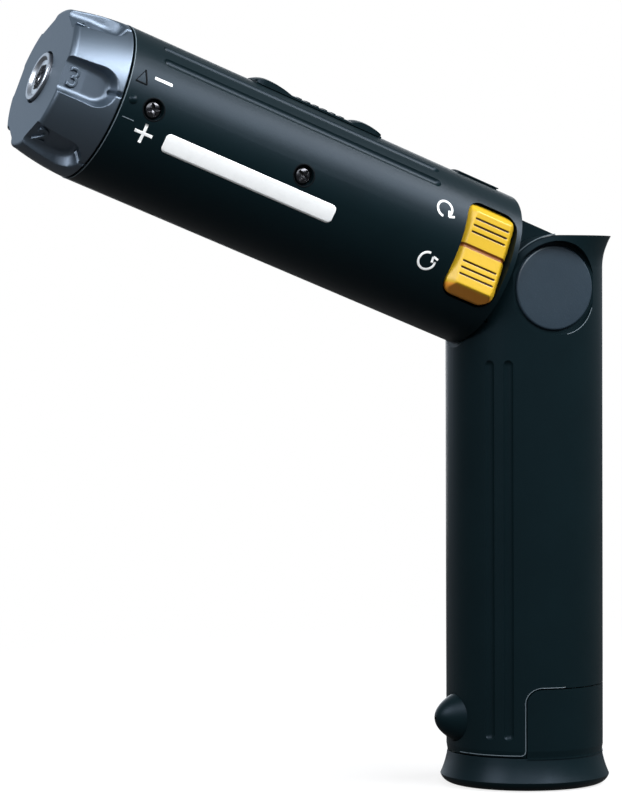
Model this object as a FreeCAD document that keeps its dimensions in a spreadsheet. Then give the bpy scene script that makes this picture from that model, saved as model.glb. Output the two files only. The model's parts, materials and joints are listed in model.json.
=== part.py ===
import FreeCAD, Part
import math
import os
import re
import Sketcher
from FreeCAD import Placement, Rotation, Vector

# Cordless driver with a pivoting handle: the handle stands on its base along Z, the barrel leans
# forward (-X) from the pivot, and each half of the tool is an assembly of its own pieces.

# Driving sizes in millimetres and degrees
SIZES = {
    # Grip and base
    "grip_radius": 21, "grip_wall": 2.6, "neck_height": 8.9, "neck_step": 0.25, "neck_rise": 1.6,
    "rim_radius": 22.65, "rim_height": 2.3, "foot_inset": 2.8, "rim_round": 3.2, "flare_round": 24,
    "skirt_front": 9, "skirt_top": 27, "skirt_round": 4, "seam_gap": 0.3, "floor_thick": 5.6,
    "rib_thick": 1.6, "rib_margin": 5, "rib_setback": 9, "groove_radius": 1.7, "groove_depth": 0.7,
    "grip_groove_rise": 5.8, "grip_groove_angle": 38, "grip_groove_step": 14.2,
    # Pivot between handle and barrel
    "pivot_height": 132.4, "bend_angle": 68.6, "knuckle_radius": 13.8, "knuckle_gap": 0.6,
    "ear_depth": 6, "sweep_gap": 0.4, "side_gap": 0.15, "washer_thick": 0.6, "washer_radius": 9,
    "pin_radius": 3.5, "pin_setback": 1.2, "pin_gap": 0.05, "lip_reach": 2.6, "lip_height": 8.2, "lip_round": 0.9,
    "recess_radius": 12.3, "recess_inset": 3.6, "cap_thick": 0.8, "cap_gap": 0.5, "cap_edge": 0.5,
    "cap_plug_radius": 3.4,
    # Battery pack and latch
    "tube_room": 5.2, "tube_wall": 1.4, "tube_gap": 0.3, "tube_lid": 1.5, "cell_play": 0.2,
    "link_thick": 0.6, "link_half": 4, "button_radius": 3.4, "button_rise": 0.8, "ring_width": 3,
    "ring_inset": 1, "block_radius": 13, "block_depth": 7, "leaf_radius": 1.4, "leaf_reach": 6.8,
    "latch_half": 6, "latch_rise": 9.3, "latch_proud": 4.9, "latch_dome": 4.4, "latch_sink": 1.2,
    "latch_foot": 6.5, "latch_gap": 0.4, "latch_flange": 1.4, "latch_plate": 1.3,
    "latch_seat": 1.8, "latch_leaf": 0.4, "latch_arm": 4.9, "latch_flat": 1.6,
    # Barrel shell
    "shell_wall": 2.6, "rear_wall": 2.4, "shell_lip": 2.4, "bead_setback": 1.5, "bead_width": 1.4,
    "bead_height": 1.3, "bead_gap": 0.3, "barrel_groove_rise": 26.6, "barrel_groove_setback": 9.6,
    "barrel_groove_angle": 35, "barrel_groove_step": 15.5, "screw_inset": 4.1, "screw_setback": 2.4,
    "screw_radius": 1.2, "screw_head": 2.5, "screw_head_depth": 1.1, "screw_recess": 2.75,
    "recess_depth": 1.5, "screw_length": 3.6, "thread_gap": 0.03,
    # Switch, rocker and lock slide
    "switch_gap": 1.2, "switch_length": 15, "switch_half": 8.5, "switch_back_gap": 2.6, "ear_thick": 1.3,
    "ear_over": 1.5, "switch_drop": 3.8, "rocker_place": 5.4, "rocker_length": 14.2, "rocker_half": 12.2,
    "rocker_drop": 0.3, "rocker_fall": 2.1, "rocker_edge": 2.3, "rocker_rim": 3.7, "rocker_skin": 4.5,
    "rocker_draft": 0.9, "rocker_corner": 3.4, "rocker_lean": 6, "rocker_gap": 0.5, "rocker_end_gap": 0.75,
    "rocker_seat": 6.8, "rocker_boss": 2.2, "rocker_pin_radius": 1.0, "rocker_rib": 0.45,
    "rocker_rib_first": 4.05, "rocker_rib_step": 1.8, "rocker_rib_half": 5.1, "rocker_valley": 0.7,
    "web_skin": 1.4, "window_depth": 9.4, "lock_place": 0.9, "lock_length": 12.4, "lock_half": 5,
    "lock_rise": 0.6, "lock_stem": 4, "lock_stem_half": 2, "lock_travel": 3,
    # Speed selector
    "selector_reach": 19.6, "selector_length": 38, "selector_half": 7, "selector_low": 0.7,
    "selector_rise": 1.8, "selector_front_bump": 10.6, "selector_rear_bump": 9.4, "selector_travel": 6,
    "selector_front_fall": 3.2, "selector_rear_fall": 5.8, "selector_corner": 2.5, "selector_ridge": 0.2,
    "selector_stem": 12, "selector_stem_half": 3.4, "slide_gap": 0.25, "foot_plate": 0.8,
    "foot_drop": 3.9, "selector_foot_half": 4.6, "selector_rib": 0.5, "selector_rib_step": 2.55,
    # Motor
    "motor_length": 38, "motor_room": 4.5, "can_wall": 1.2, "can_mouth": 3.4, "end_cap_depth": 3.6,
    "end_cap_insert": 2.4, "shaft_radius": 1.15, "shaft_tail": 2.5, "armature_inset": 7,
    "armature_margin": 6, "magnet_thick": 1.6, "air_gap": 0.5, "magnet_gap": 2.4, "shaft_gap": 0.06,
    "commutator_radius": 4, "commutator_length": 4, "terminal_half": 1.5, "terminal_thick": 0.5,
    "terminal_place": 8, "terminal_length": 5, "terminal_gap": 0.4,
    # Gear case and gears
    "case_overlap": 6, "case_gap": 0.2, "case_wall": 2.5, "case_plate": 3, "case_mouth": 7.8,
    "nose_outer": 9, "nose_inner": 7, "nose_gap": 0.4, "fit_gap": 0.05, "ring_wall": 1.3,
    "backlash": 0.12, "gear_width": 8, "planet_play": 0.6, "stage_gap": 0.6, "carrier_clear": 1.13,
    "carrier_plate": 2.4, "carrier_gap": 0.7, "carrier_play": 0.5, "planet_pin": 1.4, "planet_gap": 0.06,
    # Clutch, collar and spindle
    "collar_gap": 0.4, "collar_length": 15.6, "collar_step": 0.1, "collar_taper": 2, "collar_bulge": 70,
    "collar_round": 1.3, "collar_edge": 1.4, "collar_dish": 0.2, "collar_play": 0.45, "collar_face": 4,
    "collar_wall": 3.8, "skirt_play": 0.6, "skirt_gap": 0.8, "flute_half": 4.7, "flute_depth": 1.6,
    "flute_length": 13.1, "flute_corner": 4.2, "plate_thick": 1.4, "plate_rim": 0.2, "spring_length": 14.65,
    "case_setback": 2.2, "nut_thick": 3.6, "nut_play": 0.4, "nut_gap": 0.25, "key_half": 2,
    "key_height": 1.1, "wire_radius": 0.8, "spring_inset": 3, "ball_radius": 1.6, "ball_inset": 1.7,
    "spindle_radius": 5, "flange_radius": 6.5, "flange_depth": 3.4, "hex_flats": 6.5, "hex_depth": 22,
    "mouth_chamfer": 0.5, "bush_setback": 3.5, "bush_length": 12, "bush_gap": 0.05, "clip_gap": 1,
    "clip_thick": 1, "clip_groove": 0.5, "clip_inset": 0.7, "stop_ring_thick": 1, "stop_ring_rise": 1.4,
    # Handle screws
    "handle_screw_inset": 2.4, "handle_screw_rise": 21, "handle_screw_setback": 16, "boss_radius": 2.9,
    "handle_screw_depth": 7,
    # One overrun for every cut
    "overrun": 30,
}
SUN_TEETH = 12
PLANET_TEETH = 15
RING_TEETH = 42
PRESSURE_ANGLE = 25
ADDENDUM_SHARE = 0.8
DEDENDUM_SHARE = 1.05
PLANETS = 3
FLUTES = 6
RIBS = 6
KEYS = 3
BALLS = 6
SPRING_TURNS = 4
QUARTERS = 4
GROOVES = 2
ROCKER_RIBS = 3
SELECTOR_RIBS = 6
NEAR_SIDE = 90
HEX_SIDES = 6
HEX_TURN = 30
LIP_SHARES = (0, 0.35, 0.7, 1)

# Sizes and places that follow from the driving ones, each as a formula in the same sheet
PLACES = {
    # Handle, battery and latch
    "neck_radius": "grip_radius - neck_step", "foot_radius": "rim_radius - foot_inset",
    "tongue_radius": "knuckle_radius + knuckle_gap", "cap_floor": "grip_radius - recess_inset",
    "cavity_top": "pivot_height - tongue_radius - sweep_gap - floor_thick",
    "tongue_half": "cap_floor - ear_depth", "pin_half": "cap_floor - pin_setback",
    "cap_face": "cap_floor + cap_thick", "cap_radius": "recess_radius - cap_gap",
    "grip_groove_low": "neck_height + grip_groove_rise", "grip_groove_high": "cavity_top",
    "rib_low": "skirt_top + rib_margin", "rib_high": "cavity_top - rib_setback",
    "handle_screw_offset": "grip_radius - grip_wall - handle_screw_inset",
    "handle_screw_low": "skirt_top + handle_screw_rise",
    "handle_screw_high": "cavity_top - handle_screw_setback",
    "tube_radius": "grip_radius - grip_wall - tube_room", "cell_radius": "tube_radius - tube_wall - tube_gap",
    "ring_outer": "cell_radius - ring_inset", "ring_inner": "ring_outer - ring_width",
    "pack_room": "cavity_top - block_depth - leaf_reach - neck_height - tube_lid - button_rise",
    "cell_length": "(pack_room - link_thick) / 2 - cell_play",
    "latch_height": "neck_height + latch_rise",
    "latch_reach": "grip_radius + latch_proud", "latch_depth": "grip_radius - grip_wall - latch_seat",
    "latch_bow": "latch_depth - latch_plate - tube_radius - tube_gap",
    # Along the barrel, from its rear to its front
    "switch_rear": "tongue_radius + rear_wall + switch_gap", "switch_front": "switch_rear + switch_length",
    "rocker_centre": "switch_rear + rocker_place", "lock_rear": "switch_rear + lock_place",
    "lock_front": "lock_rear + lock_length",
    "motor_rear": "switch_front + terminal_gap + terminal_length + end_cap_depth",
    "motor_front": "motor_rear + motor_length", "armature_rear": "motor_rear + armature_inset",
    "armature_front": "motor_front - armature_margin", "case_rear": "motor_front - case_overlap",
    "stage_one": "motor_front + case_plate + stage_gap",
    "stage_two": "stage_one + gear_width + carrier_gap + carrier_plate + carrier_play",
    "case_step": "stage_two + gear_width + carrier_gap * 2 + carrier_plate",
    "nut_rear": "case_step - fit_gap + ball_radius * 2 + plate_thick + spring_length",
    "case_front": "nut_rear - case_setback", "skirt_rear": "case_front + skirt_gap",
    "bead_place": "skirt_rear + bead_setback", "barrel_front": "bead_place + bead_width + shell_lip",
    "collar_rear": "barrel_front + collar_gap", "collar_front": "collar_rear + collar_length",
    "flute_rear": "collar_front - flute_length", "spindle_front": "collar_front",
    "nose_front": "collar_front - collar_face - collar_dish - nose_gap",
    "bush_front": "nose_front - bush_setback", "bush_rear": "bush_front - bush_length",
    "clip_place": "bush_front + clip_gap", "screw_rear": "case_rear + screw_inset",
    "screw_front": "case_front - screw_setback", "selector_front": "case_rear + selector_reach",
    "selector_rear": "selector_front - selector_length",
    "barrel_groove_rear": "tongue_radius + barrel_groove_rise",
    "barrel_groove_front": "barrel_front - barrel_groove_setback",
    # Across the barrel, from its wall inwards
    "shell_bore": "grip_radius - shell_wall", "bead_radius": "shell_bore - bead_height",
    "skirt_outer": "shell_bore - skirt_play", "collar_cavity": "shell_bore - collar_wall",
    "nut_outer": "collar_cavity - nut_play", "spring_radius": "collar_cavity - spring_inset",
    "collar_rear_radius": "grip_radius - collar_step",
    "collar_front_radius": "collar_rear_radius - collar_taper",
    "flute_floor": "collar_front_radius - flute_depth", "collar_bore": "flange_radius + collar_play",
    "clip_outer": "nose_inner - clip_inset", "pocket_radius": "shell_bore - case_gap - case_wall",
    "gear_module": f"(pocket_radius - ring_wall - fit_gap) / {RING_TEETH / 2 + DEDENDUM_SHARE}",
    "carrier_radius": f"gear_module * {RING_TEETH / 2 - ADDENDUM_SHARE} - carrier_clear",
    "planet_width": "gear_width - planet_play", "planet_bore": "planet_pin + planet_gap",
    "ball_place": "pocket_radius - ball_inset", "plate_outer": "ball_place + ball_radius + plate_rim",
    "motor_radius": "shell_bore - motor_room", "magnet_inner": "motor_radius - can_wall - magnet_thick",
    "armature_radius": "magnet_inner - air_gap", "switch_back": "shell_bore - switch_back_gap",
    "rocker_axis": "grip_radius - rocker_seat", "switch_face": "rocker_axis - switch_drop",
    "rocker_middle": "grip_radius - rocker_drop",
    "rocker_low": "grip_radius - rocker_rim", "rocker_under": "grip_radius - rocker_skin",
    "window_floor": "grip_radius - window_depth",
}

doc = FreeCAD.newDocument("pivot_driver")
dim = doc.addObject("Spreadsheet::Sheet", "dim")
formulas = {alias: f"={formula}" for alias, formula in PLACES.items()}
for row, (alias, content) in enumerate({**SIZES, **formulas}.items(), 1):
    dim.set(f"A{row}", alias)
    dim.setAlias(f"B{row}", alias)
    dim.set(f"B{row}", str(content))
doc.recompute()
pieces = {}


def bound(text):
    """The same expression with each size read from the sheet."""
    known = {*SIZES, *PLACES}
    return re.sub(r"[a-z_]+", lambda w: f"dim.{w.group()}" if w.group() in known else w.group(), text)


def value(text):
    """The number that an expression of sizes stands for."""
    return float(dim.evalExpression(bound(text)))


def seat(shape, x="0", y="0", z="0"):
    """Ties a shape's place to the sheet."""
    for axis, text in zip("xyz", (x, y, z)):
        shape.setExpression(f"Placement.Base.{axis}", bound(text))
    return shape


def cylinder(radius, low, high, at=("0", "0"), along="z"):
    """A round bar along an axis, from low to high, at the two other coordinates."""
    bar = doc.addObject("Part::Cylinder", "bar")
    bar.setExpression("Radius", bound(radius))
    bar.setExpression("Height", bound(f"({high}) - ({low})"))
    if along == "z":
        return seat(bar, at[0], at[1], low)
    if along == "y":
        bar.Placement.Rotation = Rotation(Vector(1, 0, 0), -90)
        return seat(bar, at[0], low, at[1])
    bar.Placement.Rotation = Rotation(Vector(0, 1, 0), 90)
    return seat(bar, low, at[0], at[1])


def block(x, y, z):
    """A box between a low and a high place on each axis."""
    box = doc.addObject("Part::Box", "block")
    for side, (low, high) in zip(("Length", "Width", "Height"), (x, y, z)):
        box.setExpression(side, bound(f"({high}) - ({low})"))
    return seat(box, x[0], y[0], z[0])


def turned(box, turn, reach, half, low):
    """Turns a box about Z; its inner face stands at a reach and it is half as wide to each side."""
    box.Placement = Placement(Vector(), Rotation(Vector(0, 0, 1), turn))
    x = f"({reach}) * cos({turn}) + ({half}) * sin({turn})"
    y = f"({reach}) * sin({turn}) - ({half}) * cos({turn})"
    return seat(box, x, y, low)


def sphere(radius, x, y, z):
    """A ball at a place."""
    ball = doc.addObject("Part::Sphere", "ball")
    ball.setExpression("Radius", bound(radius))
    return seat(ball, x, y, z)


def fuse(*shapes):
    """One solid of several."""
    joined = doc.addObject("Part::MultiFuse", "joined")
    joined.Shapes = list(shapes)
    return joined


def cut(base, *tools):
    """A solid with tools taken away."""
    for tool in tools:
        left = doc.addObject("Part::Cut", "cut")
        left.Base = base
        left.Tool = tool
        base = left
    return base


def common(first, second):
    """What two solids share."""
    shared = doc.addObject("Part::Common", "shared")
    shared.Base = first
    shared.Tool = second
    return shared


def group(*shapes):
    """Separate solids kept as one node."""
    several = doc.addObject("Part::Compound", "group")
    several.Links = list(shapes)
    return several


def sketch_outline(body, plane, points):
    """A closed outline whose corners, and arc radii, are tied to the sheet.

    A point is (x, y), or (x, y, radius, turn) where the stretch that ends there is an arc.
    """
    sketch = body.newObject("Sketcher::SketchObject", "outline")
    support = next(f for f in body.Origin.OriginFeatures if f.Role == plane)
    sketch.AttachmentSupport = [(support, "")]
    sketch.MapMode = "FlatFace"
    places = [Vector(value(p[0]), value(p[1]), 0) for p in points]
    ends = []
    for index, point in enumerate(points):
        start, stop = places[index - 1], places[index]
        if len(point) == 2:
            sketch.addGeometry(Part.LineSegment(start, stop))
            ends.append((1, 2))
            continue
        radius, left = value(point[2]), point[3] == "left"
        chord = stop - start
        rise = math.sqrt(max(radius ** 2 - (chord.Length / 2) ** 2, 0))
        normal = Vector(-chord.y, chord.x, 0).normalize() * (rise if left else -rise)
        centre = (start + stop) / 2 + normal
        first, last = (start, stop) if left else (stop, start)
        angles = [math.atan2(p.y - centre.y, p.x - centre.x) for p in (first, last)]
        circle = Part.Circle(centre, Vector(0, 0, 1), radius)
        sketch.addGeometry(Part.ArcOfCircle(circle, angles[0], angles[1]))
        ends.append((1, 2) if left else (2, 1))
    for index, point in enumerate(points):
        following = (index + 1) % len(points)
        link = Sketcher.Constraint("Coincident", index, ends[index][1], following, ends[following][0])
        sketch.addConstraint(link)
        for kind, text, place in zip(("DistanceX", "DistanceY"), point, places[index]):
            rule = sketch.addConstraint(Sketcher.Constraint(kind, -1, 1, index, ends[index][1], place))
            sketch.setExpression(f"Constraints[{rule}]", bound(text))
        if len(point) == 4:
            rule = sketch.addConstraint(Sketcher.Constraint("Radius", index, value(point[2])))
            sketch.setExpression(f"Constraints[{rule}]", bound(point[2]))
    return sketch


def revolved(name, points):
    """A body turned about Z from an outline of (radius, height) points."""
    body = doc.addObject("PartDesign::Body", name)
    sketch = sketch_outline(body, "XZ_Plane", points)
    turn = body.newObject("PartDesign::Revolution", "turn")
    turn.Profile = sketch
    turn.ReferenceAxis = (sketch, ["V_Axis"])
    turn.Angle = 360
    return body


def prism(name, points, width, plane="XZ_Plane"):
    """A body padded to both sides of a plane from an outline on it."""
    body = doc.addObject("PartDesign::Body", name)
    sketch = sketch_outline(body, plane, points)
    pad = body.newObject("PartDesign::Pad", "pad")
    pad.Profile = sketch
    pad.SideType = "Symmetric"
    pad.setExpression("Length", bound(width))
    return body


def piece(label, shape, on_barrel=False):
    """Names a finished sub-part; a barrel piece is turned about the pivot into its leaning place."""
    shape.Label = label
    if on_barrel:
        shape.Placement = Placement(Vector(), Rotation(Vector(0, -1, 0), value("bend_angle")))
        shape.setExpression("Placement.Rotation.Angle", bound("bend_angle"))
        shape.setExpression("Placement.Base.z", bound("pivot_height"))
    pieces[label] = shape
    return shape


def ring(outer, inner, low, high):
    """A plain ring about Z."""
    return cut(cylinder(outer, low, high), cylinder(inner, f"({low}) - overrun", f"({high}) + overrun"))


def capsule(radius, low, high, reach, angle):
    """A rounded bar along Z at a reach from the axis, turned by an angle from +X towards -Y."""
    x, y = f"({reach}) * cos({angle})", f"-({reach}) * sin({angle})"
    bar = cylinder(radius, low, high, (x, y))
    return fuse(bar, sphere(radius, x, y, low), sphere(radius, x, y, high))


def tablet(name, half, span, corner, depth):
    """A slab with rounded corners, across X and along Z, that lies between two depths on the near side."""
    low, high = span
    points = [
        (f"{half} - ({corner})", low), (half, f"{low} + {corner}", corner, "left"),
        (half, f"{high} - ({corner})"), (f"{half} - ({corner})", high, corner, "left"),
        (f"{corner} - ({half})", high), (f"-({half})", f"{high} - ({corner})", corner, "left"),
        (f"-({half})", f"{low} + {corner}"), (f"{corner} - ({half})", low, corner, "left")]
    slab = prism(name, points, f"({depth[1]}) - ({depth[0]})")
    return seat(slab, "0", f"-(({depth[0]}) + ({depth[1]})) / 2", "0")


# Shorthand for places used in several pieces
GRIP_BORE = "(grip_radius - grip_wall)"
LEAN = "(90 - bend_angle)"
SLOT_HALF = "(tongue_half + side_gap * 2 + washer_thick)"
SLOT_RADIUS = "(tongue_radius + sweep_gap)"
BARREL_REAR = "tongue_radius"
CAP_TOP = "(neck_height - seam_gap)"
GROOVE_REACH = "(grip_radius + groove_radius - groove_depth)"
CELL_LOW = "(neck_height - seam_gap + cell_play)"
CELL_MIDDLE = f"({CELL_LOW} + cell_length)"
CELL_HIGH = f"({CELL_MIDDLE} + link_thick + cell_length)"
LID_LOW = f"({CELL_HIGH} + cell_play)"
LID_TOP = f"({LID_LOW} + tube_lid)"
FAR = "overrun * 2"
WIDE = "overrun * 4"
SELECTOR_STEM = "((selector_rear + selector_front - selector_stem) / 2)"
LOCK_STEM = "((lock_rear + lock_front - lock_stem) / 2)"
ROCKER_REAR = "(rocker_centre - rocker_length / 2)"
ROCKER_FRONT = "(rocker_centre + rocker_length / 2)"
EAR_INNER = "(rocker_centre - switch_rear - ear_thick - seam_gap)"
EAR_OUTER = "(rocker_centre * 2 - switch_rear)"
FOOT_TOP = "(grip_radius - foot_drop)"
FOOT_LOW = "(grip_radius - foot_drop - foot_plate)"
BALL_PLACE = "(case_step - fit_gap + ball_radius)"
PLATE_REAR = "(case_step - fit_gap + ball_radius * 2)"
PLATE_FRONT = f"({PLATE_REAR} + plate_thick)"
CARRIER_LOW = "(gear_width + carrier_gap)"
STOP_FRONT = "(nose_front - stop_ring_thick)"
STOP_REAR = "(nose_front - stop_ring_thick * 2)"


def handle_form():
    """The whole grip: a turned tube whose top leans back to a lip, ears round the pivot and a tongue slot."""
    reach = "(grip_radius + lip_reach + overrun)"
    top = "(pivot_height + knuckle_radius)"
    lip_low = f"({top} - lip_height)"
    blank = revolved("grip_blank", [
        ("0", "neck_height"), ("neck_radius", "neck_height"), ("grip_radius", "neck_height + neck_rise"),
        ("grip_radius", lip_low), ("0", lip_low)])
    circles = []
    for share in LIP_SHARES:
        circle = doc.addObject("Part::Circle", "lip_circle")
        circle.setExpression("Radius", bound("grip_radius"))
        circles.append(seat(circle, f"lip_reach * {share ** 2}", "0", f"{lip_low} + lip_height * {share}"))
    lip = doc.addObject("Part::Loft", "lip")
    lip.Sections = circles
    lip.Solid = True
    front = f"pivot_height + knuckle_radius * sin({LEAN})"
    keep = prism("ear_outline", [
        (f"-{reach}", "0"),
        ("grip_radius + lip_reach", "0"),
        ("grip_radius + lip_reach", f"{top} - lip_round"),
        ("grip_radius + lip_reach - lip_round", top, "lip_round", "left"),
        ("0", top),
        (f"-knuckle_radius * cos({LEAN})", front, "knuckle_radius", "left"),
        (f"-{reach}", f"{front} - ({reach} - knuckle_radius * cos({LEAN})) / tan({LEAN})"),
    ], WIDE)
    cavity = cylinder(GRIP_BORE, "0", "cavity_top")
    slot = prism("tongue_slot", [
        (SLOT_RADIUS, "pivot_height", SLOT_RADIUS, "left"),
        (SLOT_RADIUS, f"pivot_height + {FAR}"),
        (f"-{WIDE}", f"pivot_height + {FAR}"),
        (f"-{SLOT_RADIUS} * sin({LEAN}) - {FAR} * cos({LEAN})",
         f"pivot_height - {SLOT_RADIUS} * cos({LEAN}) + {FAR} * sin({LEAN})"),
        (f"-{SLOT_RADIUS} * sin({LEAN})", f"pivot_height - {SLOT_RADIUS} * cos({LEAN})"),
    ], f"{SLOT_HALF} * 2")
    window = prism("cap_window", [
        ("-skirt_front", f"-{FAR}"), (FAR, f"-{FAR}"), (FAR, "skirt_top"),
        ("-skirt_front + skirt_round", "skirt_top"),
        ("-skirt_front", "skirt_top - skirt_round", "skirt_round", "left")], WIDE)
    latch_hole = cylinder("latch_half + latch_gap", f"-{FAR}", "-skirt_front", ("0", "latch_height"), "x")
    pin_hole = cylinder("pin_radius + fit_gap", f"-{FAR}", FAR, ("0", "pivot_height"), "y")
    grooves = []
    for step in range(GROOVES):
        for side in ("", "-"):
            angle = f"{side}({NEAR_SIDE} + grip_groove_angle + grip_groove_step * {step})"
            span = ("grip_groove_low", "grip_groove_high")
            grooves.append(capsule("groove_radius", *span, GROOVE_REACH, angle))
    recesses = [cylinder("recess_radius", low, high, ("0", "pivot_height"), "y")
                for low, high in (("cap_floor", FAR), (f"-{FAR}", "-cap_floor"))]
    form = common(cut(fuse(blank, lip), *recesses), keep)
    form = cut(form, slot, cavity, window, latch_hole, pin_hole, *grooves)
    ribs = []
    for index in range(RIBS):
        rib = block(("tube_radius + tube_gap", f"{GRIP_BORE} + grip_wall / 2"),
                    ("-rib_thick / 2", "rib_thick / 2"), ("rib_low", "rib_high"))
        turn = 360 * (2 * index + 1) / (2 * RIBS)
        ribs.append(turned(rib, turn, "tube_radius + tube_gap", "rib_thick / 2", "rib_low"))
    return fuse(form, *ribs)


def handle():
    """The two grip shells, their screws, and the pieces that stay in them."""
    form = handle_form()
    places = [("handle_screw_offset", "handle_screw_low"), ("handle_screw_offset", "handle_screw_high"),
              ("-handle_screw_offset", "handle_screw_high")]
    bore = cylinder("grip_radius - grip_wall / 2", "neck_height", "cavity_top")
    bosses = [common(cylinder("boss_radius", f"-{FAR}", FAR, place, "y"), bore) for place in places]
    hole = "screw_radius + thread_gap"
    shafts = [cylinder(hole, "-handle_screw_depth", FAR, place, "y") for place in places]
    heads = [cylinder("screw_recess", "handle_screw_depth", FAR, place, "y") for place in places]
    tube = cylinder("tube_radius + tube_gap", "0", "cavity_top")
    full = cut(fuse(form, *bosses), *shafts, *heads, tube)
    for label, side in (("handle_shell_near", (f"-{WIDE}", "0")), ("handle_shell_far", ("0", WIDE))):
        piece(label, common(full, block((f"-{WIDE}", WIDE), side, ("0", f"pivot_height + {FAR}"))))
    screws = []
    for place in places:
        under = "handle_screw_depth"
        shank = cylinder("screw_radius", f"-{under} + fit_gap", under, place, "y")
        head = cylinder("screw_head", under, f"{under} + screw_head_depth", place, "y")
        screws.append(fuse(shank, head))
    piece("handle_screws", group(*screws))
    centre = ("0", "pivot_height")
    piece("pivot_pin", cylinder("pin_radius", "-pin_half", "pin_half", centre, "y"))
    washers = []
    for sign in ("-", ""):
        inner, outer = "(tongue_half + side_gap)", "(tongue_half + side_gap + washer_thick)"
        low, high = (f"-{outer}", f"-{inner}") if sign else (inner, outer)
        disc = cylinder("washer_radius", low, high, centre, "y")
        washers.append(cut(disc, cylinder("pin_radius + fit_gap", f"-{FAR}", FAR, centre, "y")))
    piece("friction_washers", group(*washers))
    for label, side in (("pivot_cap_near", -1), ("pivot_cap_far", 1)):
        cap = revolved(label, [
            ("0", "pin_half"), ("cap_plug_radius", "pin_half"), ("cap_plug_radius", "cap_floor"),
            ("cap_radius", "cap_floor"), ("cap_radius", "cap_face - cap_edge"),
            ("cap_radius - cap_edge", "cap_face", "cap_edge", "left"), ("0", "cap_face")])
        cap.Placement = Placement(Vector(), Rotation(Vector(1, 0, 0), -90 * side))
        piece(label, seat(cap, "0", "0", "pivot_height"))
    contacts()


def contacts():
    """The contact block under the grip's floor, with its two sprung pins."""
    low = "(cavity_top - block_depth)"
    holder = cylinder("block_radius", low, "cavity_top")
    places = [("0", "0"), ("(ring_inner + ring_outer) / 2", "0")]
    holes = [cylinder("leaf_radius + thread_gap", "0", "cavity_top - tube_lid", place) for place in places]
    piece("contact_block", cut(holder, *holes))
    pins = [cylinder("leaf_radius", f"{LID_TOP} + button_rise + seam_gap", "cavity_top - tube_lid", place)
            for place in places]
    piece("contact_pins", group(*pins))


def battery():
    """The pack: flared base cap with its rear wall, the cell tube, two cells and their contacts."""
    base = revolved("base_turned", [
        ("0", "0"), ("foot_radius", "0"), ("rim_radius", "rim_height", "rim_round", "left"),
        ("neck_radius", CAP_TOP, "flare_round", "right"), ("0", CAP_TOP)])
    wall = ring("grip_radius", f"{GRIP_BORE} + seam_gap", f"{CAP_TOP} - seam_gap", "skirt_top - seam_gap")
    inner = "(skirt_round - seam_gap)"
    keep = prism("cap_wall_outline", [
        ("-skirt_front + seam_gap", "0"), (FAR, "0"), (FAR, "skirt_top - seam_gap"),
        ("-skirt_front + skirt_round", "skirt_top - seam_gap"),
        ("-skirt_front + seam_gap", "skirt_top - skirt_round", inner, "left")], WIDE)
    neck = revolved("neck_groove", [
        ("neck_radius", CAP_TOP), (FAR, CAP_TOP), (FAR, "neck_height + neck_rise"),
        ("grip_radius", "neck_height + neck_rise"), ("neck_radius", "neck_height")])
    piece("battery_cap", fuse(base, cut(common(wall, keep), neck)))
    sleeve = revolved("sleeve", [
        ("tube_radius - tube_wall", CAP_TOP), ("tube_radius", CAP_TOP), ("tube_radius", LID_TOP),
        ("ring_outer + cell_play", LID_TOP), ("ring_outer + cell_play", LID_LOW),
        ("tube_radius - tube_wall", LID_LOW)])
    piece("battery_tube", sleeve)
    piece("cell_lower", cylinder("cell_radius", CELL_LOW, CELL_MIDDLE))
    piece("cell_link", cylinder("link_half", CELL_MIDDLE, f"{CELL_MIDDLE} + link_thick"))
    piece("cell_upper", cylinder("cell_radius", f"{CELL_MIDDLE} + link_thick", CELL_HIGH))
    button = cylinder("button_radius", CELL_HIGH, f"{LID_TOP} + button_rise")
    contact = ring("ring_outer", "ring_inner", CELL_HIGH, f"{LID_TOP} + button_rise")
    piece("battery_terminals", group(button, contact))


def latch():
    """The sprung push latch in the front of the grip: a round domed button, its flange and a bowed leaf."""
    shoulder = "(grip_radius - latch_sink)"
    waist = "(latch_reach - latch_dome)"
    button = revolved("latch_turned", [
        ("0", "latch_depth - latch_plate"), ("latch_half", "latch_depth - latch_plate"), ("latch_half", shoulder),
        ("latch_dome", waist, "latch_foot", "right"), ("0", "latch_reach", "latch_dome", "left")])
    nose = group(button)
    nose.Placement = Placement(Vector(), Rotation(Vector(0, 1, 0), -NEAR_SIDE))
    seat(nose, "0", "0", "latch_height")
    flange = block(("-latch_depth", "-latch_depth + latch_plate"),
                   ("-latch_half - latch_flange", "latch_half + latch_flange"),
                   ("latch_height - latch_half - latch_flange", "latch_height + latch_half + latch_flange"))
    piece("latch_button", fuse(nose, flange))
    seat_x = "(-latch_depth + latch_plate)"
    bow = f"({seat_x} + latch_bow)"
    leaf = prism("latch_leaf_spring", [
        (seat_x, "-latch_arm"), (f"{seat_x} + latch_leaf", "-latch_arm"), (bow, "-latch_flat"),
        (bow, "latch_flat"), (f"{seat_x} + latch_leaf", "latch_arm"), (seat_x, "latch_arm"),
        (f"{bow} - latch_leaf", "latch_flat"), (f"{bow} - latch_leaf", "-latch_flat")],
        "latch_half", "XY_Plane")
    piece("latch_spring", seat(leaf, "0", "0", "latch_height"))


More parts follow.
